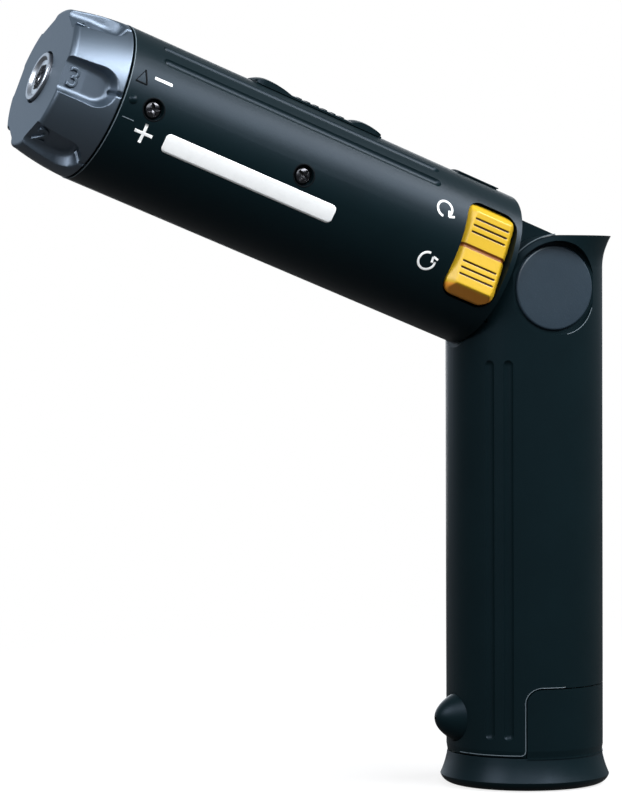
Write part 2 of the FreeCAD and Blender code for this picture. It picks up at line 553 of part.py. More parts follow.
def barrel_form():
    """The whole barrel shell: a tube with a rear wall, a bead that holds the collar, and the tongue."""
    floor = f"({BARREL_REAR} + rear_wall)"
    tube = revolved("barrel_tube", [
        ("0", BARREL_REAR), ("grip_radius", BARREL_REAR), ("grip_radius", "barrel_front"),
        ("shell_bore", "barrel_front"), ("shell_bore", "bead_place + bead_width"),
        ("bead_radius", "bead_place + bead_width"), ("bead_radius", "bead_place"), ("shell_bore", "bead_place"),
        ("shell_bore", floor), ("0", floor)])
    tongue = prism("tongue", [
        ("tongue_radius", "0", "tongue_radius", "left"), ("tongue_radius", f"{BARREL_REAR} + rear_wall / 2"),
        ("-tongue_radius", f"{BARREL_REAR} + rear_wall / 2"), ("-tongue_radius", "0"),
        ("0", "-tongue_radius", "tongue_radius", "left")], "tongue_half * 2")
    pin_hole = cylinder("pin_radius + pin_gap", f"-{FAR}", FAR, ("0", "0"), "y")
    grooves = []
    for step in range(GROOVES):
        for side in ("", "-"):
            angle = f"{side}(barrel_groove_angle + barrel_groove_step * {step})"
            span = ("barrel_groove_rear", "barrel_groove_front")
            grooves.append(capsule("groove_radius", *span, GROOVE_REACH, angle))
    slots = []
    for stem, name in ((SELECTOR_STEM, "selector"), (LOCK_STEM, "lock")):
        half = f"({name}_stem_half + slide_gap)"
        front = f"{stem} + {name}_stem + {name}_travel + slide_gap * 2"
        slots.append(block(("0", FAR), (f"-{half}", half), (f"{stem} - slide_gap * 2", front)))
    cuts = [pin_hole, *slots, *grooves]
    for place in ("screw_rear", "screw_front"):
        for low, high in (("grip_radius - recess_depth", FAR), (f"-{FAR}", "-grip_radius + recess_depth")):
            cuts.append(cylinder("screw_recess", low, high, ("0", place), "y"))
        cuts.append(cylinder("screw_radius + thread_gap", f"-{FAR}", FAR, ("0", place), "y"))
    return cut(fuse(tube, tongue), *cuts)


def barrel():
    """The two barrel shells and the radial screws that hold them to the gear case."""
    form = barrel_form()
    near_side = block((f"-{WIDE}", WIDE), (f"-{WIDE}", "0"), (f"-{FAR}", f"barrel_front + {FAR}"))
    far_side = block((f"-{WIDE}", WIDE), ("0", WIDE), (f"-{FAR}", f"barrel_front + {FAR}"))
    opening = tablet("rocker_window", "rocker_half + rocker_end_gap",
                     (f"{ROCKER_REAR} - rocker_gap", f"{ROCKER_FRONT} + rocker_gap"),
                     "rocker_corner + rocker_gap", ("window_floor", FAR))
    piece("barrel_shell_near", cut(common(form, near_side), opening), True)
    piece("barrel_shell_far", common(form, far_side), True)
    screws = []
    for place in ("screw_rear", "screw_front"):
        under = "(grip_radius - recess_depth)"
        tip = f"({under} - screw_length)"
        top = f"({under} + screw_head_depth)"
        far_spans = ((tip, under), (under, top))
        near_spans = ((f"-{under}", f"-{tip}"), (f"-{top}", f"-{under}"))
        for shank, head in (near_spans, far_spans):
            screws.append(fuse(cylinder("screw_radius", *shank, ("0", place), "y"),
                               cylinder("screw_head", *head, ("0", place), "y")))
    piece("barrel_screws", group(*screws), True)


def switch():
    """The switch block behind the rocker, the rocker on its pin, and the lock slide on top."""
    body = block(("-switch_half", "switch_half"), ("-switch_face", "switch_back"),
                 ("switch_rear", "switch_front"))
    ears = [block(("-rocker_boss", "rocker_boss"), ("-rocker_axis - ear_over", "-switch_face"), span)
            for span in (("switch_rear", "switch_rear + ear_thick"), (f"{EAR_OUTER} - ear_thick", EAR_OUTER))]
    pin_spot = ("0", "-rocker_axis")
    hole = cylinder("rocker_pin_radius + thread_gap", f"-{FAR}", FAR, pin_spot)
    piece("switch_block", cut(fuse(body, *ears), hole), True)
    pin = cylinder("rocker_pin_radius", "switch_rear", EAR_OUTER, pin_spot)
    piece("rocker_pin", group(pin), True)
    edge = "(rocker_half - rocker_edge)"
    edge_height = f"-rocker_middle + rocker_fall * {edge} / rocker_half"
    profile = prism("paddle_profile", [
        ("rocker_half", "-rocker_low"), (edge, edge_height), ("0", "-rocker_middle"),
        (f"-{edge}", edge_height), ("-rocker_half", "-rocker_low"), ("-rocker_half", "-rocker_under"),
        ("rocker_half", "-rocker_under")], "rocker_length", "XY_Plane")
    long = "(rocker_length / 2)"
    plan = tablet("paddle_plan", "rocker_half", (f"-{long}", long), "rocker_corner", ("0", "grip_radius * 2"))
    high, narrow = "(rocker_middle * 2 - rocker_under)", f"({long} - rocker_draft * 2)"
    sides = prism("paddle_sides", [
        ("-rocker_under", f"-{long}"), ("-rocker_under", long), (f"-{high}", narrow),
        (f"-{high}", f"-{narrow}")],
        "rocker_half * 4", "YZ_Plane")
    paddle = common(common(profile, plan), sides)
    boss = cylinder("rocker_boss", f"-{EAR_INNER}", EAR_INNER, pin_spot)
    web = block(("-rocker_boss", "rocker_boss"), ("-rocker_middle + web_skin", "-rocker_axis"),
                (f"-{EAR_INNER}", EAR_INNER))
    bore = cylinder("rocker_pin_radius + fit_gap", f"-{FAR}", FAR, pin_spot)
    end = "(rocker_length / 2 - rocker_valley)"
    lines = [cylinder("rocker_valley", f"-{end}", end, ("0", "-rocker_middle"))]
    for side in (1, -1):
        for index in range(ROCKER_RIBS):
            across = f"(rocker_rib_first + rocker_rib_step * {index})"
            depth = f"-rocker_middle + rocker_fall * {across} / rocker_half"
            place = (f"{side} * {across}", depth)
            lines.append(cylinder("rocker_rib", "-rocker_rib_half", "rocker_rib_half", place))
    rocker = cut(fuse(paddle, boss, web), bore, *lines)
    rocker.Placement = Placement(Vector(), Rotation(Vector(0, 0, 1), value("rocker_lean")))
    rocker.setExpression("Placement.Rotation.Angle", bound("rocker_lean"))
    seat(rocker, "-rocker_axis * sin(rocker_lean)", "rocker_axis * (cos(rocker_lean) - 1)", "rocker_centre")
    piece("rocker", group(rocker), True)
    lock_shoe = shoe("lock_rear", "lock_front", "lock_half", "lock_rise")
    stem = block((FOOT_TOP, "grip_radius + lock_rise / 2"), ("-lock_stem_half", "lock_stem_half"),
                 (LOCK_STEM, f"{LOCK_STEM} + lock_stem"))
    foot = block((FOOT_LOW, FOOT_TOP), ("-lock_half + slide_gap", "lock_half - slide_gap"),
                 (f"{LOCK_STEM} - lock_travel", f"{LOCK_STEM} + lock_stem + lock_travel"))
    piece("lock_slide", fuse(lock_shoe, stem, foot), True)


def shoe(rear, front, half, rise):
    """A curved plate lying on the barrel, between two places along it."""
    plate = ring(f"grip_radius + ({rise})", "grip_radius + slide_gap", rear, front)
    return common(plate, block(("0", FAR), (f"-({half})", half), (rear, front)))


def selector():
    """The speed selector: a saddle with a bump at each end, ribs between, and a foot under the shell."""
    low, high = "(grip_radius + selector_low)", "(grip_radius + selector_rise)"
    step = "(selector_rise - selector_low)"
    bend = {span: f"(({span}) * ({span}) + {step} * {step}) / (2 * {step})" for span in (
        "selector_rear_fall", "selector_rear_bump - selector_rear_fall",
        "selector_front_bump - selector_front_fall", "selector_front_fall")}
    rear_fall, rear_rise, front_rise, front_fall = bend.values()
    saddle = revolved("selector_saddle", [
        ("grip_radius + slide_gap", "selector_rear"), (low, "selector_rear"),
        (high, "selector_rear + selector_rear_fall", rear_fall, "left"),
        (low, "selector_rear + selector_rear_bump", rear_rise, "left"),
        (low, "selector_front - selector_front_bump"),
        (high, "selector_front - selector_front_fall", front_rise, "left"),
        (low, "selector_front", front_fall, "left"), ("grip_radius + slide_gap", "selector_front")])
    plan = group(tablet("selector_plan", "selector_half", ("selector_rear", "selector_front"),
                        "selector_corner", ("0", FAR)))
    plan.Placement = Placement(Vector(), Rotation(Vector(0, 0, 1), NEAR_SIDE))
    form = common(saddle, plan)
    ribs = []
    for index in range(SELECTOR_RIBS):
        low = f"selector_rear + selector_rear_bump + selector_rib_step * {index + 1} - selector_rib / 2"
        inset = "selector_half - selector_rib * 2"
        ribs.append(shoe(low, f"{low} + selector_rib", inset, "selector_low + selector_ridge"))
    stem = block((FOOT_TOP, "grip_radius + selector_low / 2"), ("-selector_stem_half", "selector_stem_half"),
                 (SELECTOR_STEM, f"{SELECTOR_STEM} + selector_stem"))
    foot = block((FOOT_LOW, FOOT_TOP), ("-selector_foot_half", "selector_foot_half"),
                 (f"{SELECTOR_STEM} - selector_rib", f"{SELECTOR_STEM} + selector_stem + selector_rib"))
    piece("speed_selector", fuse(form, stem, foot, *ribs), True)


def motor():
    """The motor: a can with its magnets, an end cap with terminals, and the rotor on its shaft."""
    bore = "(motor_radius - can_wall)"
    can = revolved("motor_can", [
        (bore, "motor_rear"), ("motor_radius", "motor_rear"), ("motor_radius", "motor_front"),
        ("can_mouth", "motor_front"), ("can_mouth", "motor_front - can_wall"),
        (bore, "motor_front - can_wall")])
    piece("motor_can", can, True)
    sleeve = ring(bore, "magnet_inner", "armature_rear", "armature_front")
    slit = block((f"-{FAR}", FAR), ("-magnet_gap", "magnet_gap"), ("armature_rear", "armature_front"))
    piece("motor_magnets", cut(sleeve, slit), True)
    cap_rear = "(motor_rear - end_cap_depth)"
    cap = revolved("end_cap", [
        ("shaft_radius + shaft_gap", cap_rear), (bore, cap_rear), (bore, "motor_rear + end_cap_insert"),
        ("shaft_radius + shaft_gap", "motor_rear + end_cap_insert")])
    piece("motor_end_cap", cap, True)
    tags = [block((f"{side}terminal_place - terminal_half", f"{side}terminal_place + terminal_half"),
                  ("-terminal_thick / 2", "terminal_thick / 2"), (f"{cap_rear} - terminal_length", cap_rear))
            for side in ("-", "")]
    piece("motor_terminals", group(*tags), True)
    shaft = cylinder("shaft_radius", f"{cap_rear} - shaft_tail", "stage_one + gear_width")
    armature = cylinder("armature_radius", "armature_rear", "armature_front")
    commutator = cylinder("commutator_radius", "armature_rear - commutator_length", "armature_rear")
    piece("rotor", fuse(shaft, armature, commutator), True)


def gear_wire(teeth, tip, root, thinner, middle):
    """The closed outline of a gear about a middle: involute flanks, as arcs, between tip and root circles.

    At a radius r the half tooth angle is pi / (2 teeth) + inv(pressure) - inv(acos(base / r)), less the play.
    """
    pitch = value("gear_module") * teeth / 2
    base = pitch * math.cos(math.radians(PRESSURE_ANGLE))

    def involute(angle):
        return math.tan(angle) - angle

    def half_angle(radius):
        lean = math.acos(min(base / radius, 1))
        whole = math.pi / (2 * teeth) + involute(math.radians(PRESSURE_ANGLE)) - involute(lean)
        return whole - thinner / (2 * pitch)

    def spot(radius, angle):
        return middle + Vector(radius * math.cos(angle), radius * math.sin(angle), 0)

    start = max(base, min(root, tip))
    radii = [start, (start + max(root, tip)) / 2, max(root, tip)]
    inner = min(root, tip)
    edges = []
    corner = None
    first = None
    for tooth in range(teeth):
        centre = 2 * math.pi * tooth / teeth
        rising = [spot(r, centre - half_angle(r)) for r in radii]
        falling = [spot(r, centre + half_angle(r)) for r in reversed(radii)]
        foot = spot(inner, centre - half_angle(radii[0]))
        heel = spot(inner, centre + half_angle(radii[0]))
        if corner is not None:
            edges.append(Part.LineSegment(corner, foot).toShape())
        else:
            first = foot
        if (foot - rising[0]).Length > value("thread_gap"):
            edges.append(Part.LineSegment(foot, rising[0]).toShape())
            heel_line = Part.LineSegment(falling[2], heel).toShape()
        else:
            heel_line = None
            if not edges:
                first = rising[0]
            heel = falling[2]
        edges.append(Part.Arc(*rising).toShape())
        edges.append(Part.LineSegment(rising[2], falling[0]).toShape())
        edges.append(Part.Arc(*falling).toShape())
        if heel_line:
            edges.append(heel_line)
        corner = heel
    edges.append(Part.LineSegment(corner, first).toShape())
    return Part.Wire(edges)


def gear_solid(teeth, low, width, place=Vector()):
    """An outside gear about a place beside the axis."""
    pitch = value("gear_module") * teeth / 2
    tip = pitch + value("gear_module") * ADDENDUM_SHARE
    root = pitch - value("gear_module") * DEDENDUM_SHARE
    middle = place + Vector(0, 0, value(low))
    face = Part.Face(gear_wire(teeth, tip, root, value("backlash"), middle))
    return face.extrude(Vector(0, 0, value(width)))


def bar(radius, low, high, x=0, y=0):
    """A plain round bar for the gear pieces."""
    return Part.makeCylinder(value(radius), value(high) - value(low), Vector(x, y, value(low)))


def feature(label, shape):
    """A sub-part whose shape is set here, with its place after it."""
    holder = doc.addObject("Part::Feature", label)
    holder.Shape = shape
    return piece(label, holder, True)


def ring_gear(label, low, rim=None):
    """A ring with inward teeth, half a tooth out of step with the planets; a rim may run on to a place."""
    pitch = value("gear_module") * RING_TEETH / 2
    tip = pitch + value("gear_module") * DEDENDUM_SHARE
    root = pitch - value("gear_module") * ADDENDUM_SHARE
    middle = Vector(0, 0, value(low))
    hollow = Part.Face(gear_wire(RING_TEETH, tip, root, -value("backlash"), middle))
    outer = Part.makeCircle(value("pocket_radius - fit_gap"), middle)
    blank = Part.Face(Part.Wire(outer)).cut(hollow).Faces[0]
    solid = blank.extrude(Vector(0, 0, value("gear_width")))
    if rim:
        front = f"{low} + gear_width"
        hollow = bar("carrier_radius + carrier_gap", front, rim)
        solid = solid.fuse(bar("pocket_radius - fit_gap", front, rim).cut(hollow)).removeSplitter()
    return feature(label, solid)


def planet_places():
    """The planets' centres on the carrier circle."""
    reach = value("gear_module") * (SUN_TEETH + PLANET_TEETH) / 2
    turns = [2 * math.pi * index / PLANETS for index in range(PLANETS)]
    return [Vector(reach * math.cos(turn), reach * math.sin(turn), 0) for turn in turns]


def stage(prefix, low):
    """Three planets on one carrier's pins; every planet stands the same way round, in mesh at rest."""
    for index, place in enumerate(planet_places()):
        gear = gear_solid(PLANET_TEETH, f"{low} + (gear_width - planet_width) / 2", "planet_width", place)
        hole = bar("planet_bore", f"{low} - overrun", f"{low} + overrun", place.x, place.y)
        feature(f"{prefix}_planet_{'abc'[index]}", gear.cut(hole))


def carrier_shape(low):
    """A carrier plate in front of a stage, with a pin into each planet."""
    plate_low = f"{low} + {CARRIER_LOW}"
    plate = bar("carrier_radius", plate_low, f"{plate_low} + carrier_plate")
    pins = [bar("planet_pin", low, f"{plate_low} + carrier_plate / 2", p.x, p.y) for p in planet_places()]
    return plate.fuse(pins).removeSplitter()


def ball_places():
    """The clutch balls' places round the axis."""
    turns = [360 * index / BALLS for index in range(BALLS)]
    return [(f"ball_place * cos({turn})", f"ball_place * sin({turn})") for turn in turns]


def gears():
    """Two planetary stages between the motor and the spindle, and the case that holds their rings."""
    outer = "shell_bore - case_gap"
    motor_seat = "motor_radius + fit_gap"
    well = "plate_outer + seam_gap"
    web = "motor_front + case_plate"
    step = "case_step + case_plate"
    case = revolved("gear_case_turned", [
        (motor_seat, "case_rear"), (outer, "case_rear"), (outer, "case_front"), (well, "case_front"),
        (well, step), ("nose_outer", step), ("nose_outer", "nose_front"), ("nose_inner", "nose_front"),
        ("nose_inner", "case_step"), ("pocket_radius", "case_step"), ("pocket_radius", web),
        ("case_mouth", web), ("case_mouth", "motor_front + fit_gap"), (motor_seat, "motor_front + fit_gap")])
    flat_front = f"{SELECTOR_STEM} + selector_stem + selector_travel + selector_rib + seam_gap"
    flat = block((f"{FOOT_LOW} - seam_gap", FAR),
                 ("-selector_foot_half - seam_gap", "selector_foot_half + seam_gap"),
                 ("case_rear - overrun", flat_front))
    core = cylinder("pocket_radius", "case_rear", "case_front")
    radial = [cut(cylinder("screw_radius + thread_gap", f"-{FAR}", FAR, ("0", place), "y"), core)
              for place in ("screw_rear", "screw_front")]
    holes = [cylinder("ball_radius + fit_gap", "case_step - fit_gap", f"{step} + fit_gap", place)
             for place in ball_places()]
    groove = ring("nose_outer + overrun", "nose_outer - clip_groove", STOP_REAR, STOP_FRONT)
    piece("gear_case", cut(case, flat, groove, *radial, *holes), True)
    feature("sun_pinion", gear_solid(SUN_TEETH, "stage_one", "gear_width").cut(
        bar("shaft_radius + thread_gap", "stage_one - overrun", "stage_one + overrun")))
    ring_gear("ring_gear_first", "stage_one")
    ring_gear("ring_gear_second", "stage_two", "case_step - fit_gap")
    stage("first", "stage_one")
    stage("second", "stage_two")
    first = carrier_shape("stage_one")
    sun_low = f"stage_one + {CARRIER_LOW} + carrier_plate / 2"
    sun = gear_solid(SUN_TEETH, sun_low, f"stage_two + (gear_width + planet_width) / 2 - ({sun_low})")
    feature("first_carrier", first.fuse(sun).removeSplitter())


def spindle():
    """The output carrier and the spindle with its hexagon socket, its bush and its clip."""
    feature("output_carrier", carrier_shape("stage_two"))
    rear = f"(stage_two + {CARRIER_LOW} + carrier_plate)"
    clip_front = "clip_place + clip_thick"
    waist = "spindle_radius - clip_groove"
    flange_rear = "spindle_front - flange_depth"
    rod = revolved("spindle_turned", [
        ("0", rear), ("spindle_radius", rear), ("spindle_radius", "clip_place"), (waist, "clip_place"),
        (waist, clip_front), ("spindle_radius", clip_front), ("spindle_radius", flange_rear),
        ("flange_radius", flange_rear), ("flange_radius", "spindle_front - mouth_chamfer"),
        ("flange_radius - mouth_chamfer", "spindle_front"), ("0", "spindle_front")])
    socket = doc.addObject("Part::Prism", "socket")
    socket.Polygon = HEX_SIDES
    socket.Placement.Rotation = Rotation(Vector(0, 0, 1), HEX_TURN)
    socket.setExpression("Circumradius", bound("hex_flats / 2 / cos(30)"))
    socket.setExpression("Height", bound("hex_depth + overrun"))
    seat(socket, "0", "0", "spindle_front - hex_depth")
    piece("spindle", cut(rod, socket), True)
    clip = ring("clip_outer", f"{waist} + thread_gap",
                "clip_place + thread_gap", f"{clip_front} - thread_gap")
    mouth = block(("0", FAR), ("-clip_thick", "clip_thick"), ("clip_place", clip_front))
    piece("spindle_clip", cut(clip, mouth), True)
    bush = ring("nose_inner - thread_gap", "spindle_radius + bush_gap", "bush_rear", "bush_front")
    piece("front_bush", bush, True)


def clutch():
    """The torque clutch: balls, thrust plate, spring, keyed nut and the numbered collar with its flutes."""
    balls = [sphere("ball_radius", *place, BALL_PLACE) for place in ball_places()]
    piece("clutch_balls", group(*balls), True)
    piece("thrust_plate", ring("plate_outer", "nose_outer + fit_gap", PLATE_REAR, PLATE_FRONT), True)
    feature("clutch_spring", spring_solid())
    nut = ring("nut_outer", "nose_outer + fit_gap", "nut_rear", "nut_rear + nut_thick")
    keys, ways = [], []
    cavity_front = "collar_front - collar_face - collar_dish"
    for index in range(KEYS):
        turn = 360 * index / KEYS
        for store, extra, low, high in ((keys, "0", "nut_rear", "nut_rear + nut_thick"),
                                        (ways, "nut_gap", "skirt_rear - overrun", cavity_front)):
            half = f"key_half + {extra}"
            key = block(("nut_outer - key_height", f"nut_outer + key_height + {extra}"),
                        ("0", f"({half}) * 2"), (low, high))
            store.append(turned(key, turn, "nut_outer - key_height", half, low))
    piece("clutch_nut", fuse(nut, *keys), True)
    groove_rear, groove_front = "bead_place - bead_gap", "bead_place + bead_width + bead_gap"
    collar = revolved("collar_turned", [
        ("collar_cavity", "skirt_rear"), ("skirt_outer", "skirt_rear"), ("skirt_outer", groove_rear),
        ("bead_radius - bead_gap", groove_rear), ("bead_radius - bead_gap", groove_front),
        ("skirt_outer", groove_front), ("skirt_outer", "collar_rear"), ("collar_rear_radius", "collar_rear"),
        ("collar_front_radius", "collar_front - collar_dish - collar_round", "collar_bulge", "left"),
        ("collar_front_radius - collar_round", "collar_front - collar_dish", "collar_edge", "left"),
        ("collar_bore", "collar_front"), ("collar_bore", "collar_front - collar_face"),
        ("collar_cavity", cavity_front)])
    pocket = tablet("flute_pocket", "flute_half", ("flute_rear", f"collar_front + {FAR}"), "flute_corner",
                    ("flute_floor", FAR))
    flutes = []
    for index in range(FLUTES):
        flute = group(pocket)
        flute.Placement = Placement(Vector(), Rotation(Vector(0, 0, 1), 360 * index / FLUTES))
        flutes.append(flute)
    piece("clutch_collar", cut(collar, *flutes, *ways), True)
    stop = ring("nose_outer + stop_ring_rise", "nose_outer - clip_groove + thread_gap",
                f"{STOP_REAR} + thread_gap", f"{STOP_FRONT} - thread_gap")
    mouth = block(("0", FAR), ("-clip_thick", "clip_thick"), ("nose_front - overrun", "nose_front"))
    piece("stop_ring", cut(stop, mouth), True)


def spring_solid():
    """An open coil: a round wire along a helix of quarter-turn arcs, between the plate and the nut."""
    wire, radius = value("wire_radius"), value("spring_radius")
    low = value(f"{PLATE_FRONT} + wire_radius + thread_gap")
    high = value("nut_rear - wire_radius - thread_gap")
    quarters = SPRING_TURNS * QUARTERS
    rise = (high - low) / quarters

    def on_helix(turns):
        angle = turns * math.pi / 2
        return Vector(radius * math.cos(angle), radius * math.sin(angle), low + rise * turns)

    arcs = [Part.Arc(on_helix(i), on_helix(i + 1 / 2), on_helix(i + 1)) for i in range(quarters)]
    helix = Part.Wire([arc.toShape() for arc in arcs])
    section = Part.Wire(Part.makeCircle(wire, on_helix(0), Vector(0, 1, 0)))
    return Part.Solid(helix.makePipeShell([section], True, False).Shells[0])


handle()
battery()
latch()
barrel()
switch()
selector()
motor()
gears()
spindle()
clutch()
doc.recompute()

# Every object has to be sound before anything is written
for item in doc.Objects:
    if {"Invalid", "Error"} & set(item.State):
        raise RuntimeError(f"{item.Name} ({item.Label}) failed: {item.State}")
    if item.TypeId == "Part::Cut" and item.Base.Shape.Volume - item.Shape.Volume < value("fit_gap") ** 3:
        raise RuntimeError(f"{item.Name} cuts nothing from {item.Base.Label} with {item.Tool.Label}")
for label, item in pieces.items():
    if item.Shape.isNull() or not item.Shape.isValid() or not item.Shape.Solids:
        raise RuntimeError(f"{label} has no sound solid")
os.makedirs("parts", exist_ok=True)
for label, item in pieces.items():
    item.Shape.exportStep(f"parts/{label}.step")
print(len(pieces), "pieces written")
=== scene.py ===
"""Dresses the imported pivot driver: moulded shells, rocker, numbered collar, prints, fittings and a white stage."""

import json
import math

import bmesh
import bpy
import numpy as np
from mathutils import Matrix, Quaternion, Vector


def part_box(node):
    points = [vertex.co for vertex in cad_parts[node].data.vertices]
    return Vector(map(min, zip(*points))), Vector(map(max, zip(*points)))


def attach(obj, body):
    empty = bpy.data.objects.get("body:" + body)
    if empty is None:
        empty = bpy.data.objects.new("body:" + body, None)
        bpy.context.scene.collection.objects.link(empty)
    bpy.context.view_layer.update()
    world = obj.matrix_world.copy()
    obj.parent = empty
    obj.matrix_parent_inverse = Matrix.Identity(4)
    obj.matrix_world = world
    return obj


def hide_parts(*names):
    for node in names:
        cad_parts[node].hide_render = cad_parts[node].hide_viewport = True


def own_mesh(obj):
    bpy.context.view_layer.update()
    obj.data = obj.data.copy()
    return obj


bl_info = {
    "name": "Pivot driver dressing",
    "version": (1, 0, 0),
    "blender": (4, 5, 0),
    "location": "View3D > Sidebar > Driver",
    "description": "Finishes the packed pivot driver and sets its studio stage",
    "category": "Object",
}

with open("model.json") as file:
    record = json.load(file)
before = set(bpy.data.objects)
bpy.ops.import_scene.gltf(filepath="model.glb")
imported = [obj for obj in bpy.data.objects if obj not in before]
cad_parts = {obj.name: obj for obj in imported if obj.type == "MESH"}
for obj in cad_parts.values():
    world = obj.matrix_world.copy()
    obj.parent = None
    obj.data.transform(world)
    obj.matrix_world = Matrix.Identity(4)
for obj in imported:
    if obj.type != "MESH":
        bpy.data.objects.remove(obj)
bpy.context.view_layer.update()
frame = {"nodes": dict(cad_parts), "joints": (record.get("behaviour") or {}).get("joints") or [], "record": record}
MM = 0.001
JOINTS = {joint["name"]: joint for joint in frame["joints"]}
SLOTS = {part["node"]: part["material_slot"] for part in frame["record"]["subparts"]}
BODIES = {node: body for body, nodes in frame["record"]["behaviour"]["bodies"].items() for node in nodes}
PIVOT = np.array(JOINTS["head_pivot"]["pos_m"])
FORWARD = np.array(JOINTS["spindle_spin"]["axis"])
NEAR = np.array([0.0, -1.0, 0.0])
TOP = np.cross(FORWARD, NEAR)


def corners(mesh):
    """The vertices of a mesh as one array."""
    spots = np.empty(len(mesh.vertices) * 3, np.float32)
    mesh.vertices.foreach_get("co", spots)
    return spots.reshape(-1, 3).astype(float)


def reach(node):
    """The lowest and highest place of a node along the barrel, in millimetres from the pivot."""
    along = (corners(frame["nodes"][node].data) - PIVOT) @ FORWARD / MM
    return float(along.min()), float(along.max())


def on_barrel(along, angle, radius):
    """Places round the barrel: millimetres along it, degrees from its top towards the near side, and radius."""
    along, angle, radius = (np.asarray(item, float)[..., None] for item in (along, angle, radius))
    turn = np.radians(angle)
    return PIVOT + MM * (along * FORWARD + radius * (np.cos(turn) * TOP + np.sin(turn) * NEAR))


# Lengths are in millimetres, but in metres on the stage, and angles in degrees. Places along the barrel count from
# the pivot.
BARREL_RADIUS = -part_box("barrel_shell_near")[0].y / MM
GRIP_RADIUS = -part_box("handle_shell_near")[0].y / MM
BARREL_FRONT = reach("barrel_shell_near")[1]
COLLAR_FRONT = reach("clutch_collar")[1]
POLE = 0.02  # the smallest ring, or share of one, at the middle of a round face

ROCKER_HALF, ROCKER_WIDE, ROCKER_CORNER, ROCKER_LEAN = 12.5, 7.1, 3.4, 6
ROCKER_LEVEL, ROCKER_RISE, ROCKER_UNDER = 5.7, 0.6, 1.2
SIDE_SLOPE, SIDE_BORDER, SIDE_SWELL, BORDER_BLEND = 1.25, 1.3, 0.8, 0.16
UPPER_SLOPE, LOWER_SLOPE, UPPER_BORDER, LOWER_BORDER = 1.5, 1.8, 2.9, 2.2
VALLEY_DEPTH, VALLEY_HALF = 0.45, 0.42
LINE_PLACES, LINE_DEPTH, LINE_HALF, LINE_REACH, LINE_BLEND = (4.05, 5.85, 7.65), 0.3, 0.2, 5.1, 0.08

# Where the rocker's painted shade begins and ends, in its lines, its valley and at its lower end, and the tone of that
# lower end's painted shade.
LINE_SHADE_SPAN, LINE_ENDS, LADDER_ENDS = (0.22, 0.34), (5.0, 5.25), 0.05
VALLEY_SHADE_SPAN, PAD_TINT, LOW_END_SHADE_SPAN = (0.45, 0.75), (1.0, 2.2), (-10.9, -10.2)
LOW_END_SHADE_TONE = (0.7, 0.27, 0.03, 1)


class DriverSizes(bpy.types.PropertyGroup):
    """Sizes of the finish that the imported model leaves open."""

    metal_edge: bpy.props.FloatProperty(
        name="Metal edge", description="Rounding of the spindle", default=0.0001, unit="LENGTH")
    digit_height: bpy.props.FloatProperty(
        name="Number height", description="Height of the collar's numbers", default=0.0053, unit="LENGTH")
    digit_rise: bpy.props.FloatProperty(
        name="Number rise", description="How far the numbers stand up", default=0.0006, unit="LENGTH")
    print_rise: bpy.props.FloatProperty(
        name="Print rise", description="Thickness of the white prints", default=0.00005, unit="LENGTH")
    key_power: bpy.props.FloatProperty(
        name="Key light", description="Power of the soft box above the handle", default=20.0, unit="POWER")
    side_power: bpy.props.FloatProperty(
        name="Side light", description="Power of the soft box before the collar", default=6.3, unit="POWER")
    fill_power: bpy.props.FloatProperty(
        name="Fill light", description="Power of the wide soft box beside the camera", default=8.0, unit="POWER")
    back_power: bpy.props.FloatProperty(
        name="Back light", description="Power of the low soft box behind the tool", default=2.0, unit="POWER")


class DriverColours(bpy.types.PropertyGroup):
    """Colours of the finish."""

    body: bpy.props.FloatVectorProperty(
        name="Body", description="Moulded shells", default=(0.0022, 0.0075, 0.0092), subtype="COLOR")
    collar: bpy.props.FloatVectorProperty(
        name="Collar", description="Torque collar", default=(0.005, 0.0105, 0.0135), subtype="COLOR")
    sheen: bpy.props.FloatVectorProperty(
        name="Sheen", description="Tint of the plastics' reflections", default=(0.66, 0.8, 1.0), subtype="COLOR")
    cap: bpy.props.FloatVectorProperty(
        name="Pivot cap", description="Round caps on the pivot", default=(0.017, 0.03, 0.043), subtype="COLOR")
    rocker: bpy.props.FloatVectorProperty(
        name="Rocker", description="Rocker switch", default=(0.6, 0.375, 0.014), subtype="COLOR")
    # Painted shade for the rocker's grooves and its middle valley.
    groove_shade: bpy.props.FloatVectorProperty(
        name="Rocker grooves", description="Lines across the rocker", default=(0.1, 0.03, 0.004), subtype="COLOR")
    # Painted highlight: a pale colour laid on thin edges, seams and rims where light catches them.
    edge: bpy.props.FloatVectorProperty(
        name="Lit edges", description="Thin lit edges of the shells", default=(0.1, 0.13, 0.15), subtype="COLOR")
    paint: bpy.props.FloatVectorProperty(
        name="Prints", description="White signs and label", default=(0.93, 0.94, 0.93), subtype="COLOR")


def sizes():
    return bpy.context.scene.driver_sizes


def colours():
    return bpy.context.scene.driver_colours


class Signal:
    """A shader socket that takes arithmetic; each operator adds one Math node."""

    def __init__(self, look, socket):
        self.look = look
        self.socket = socket

    def __add__(self, other):
        return self.look.math("ADD", self, other)

    def __sub__(self, other):
        return self.look.math("SUBTRACT", self, other)

    def __rsub__(self, other):
        return self.look.math("SUBTRACT", other, self)

    def __mul__(self, other):
        return self.look.math("MULTIPLY", self, other)

    def __abs__(self):
        return self.look.math("ABSOLUTE", self)


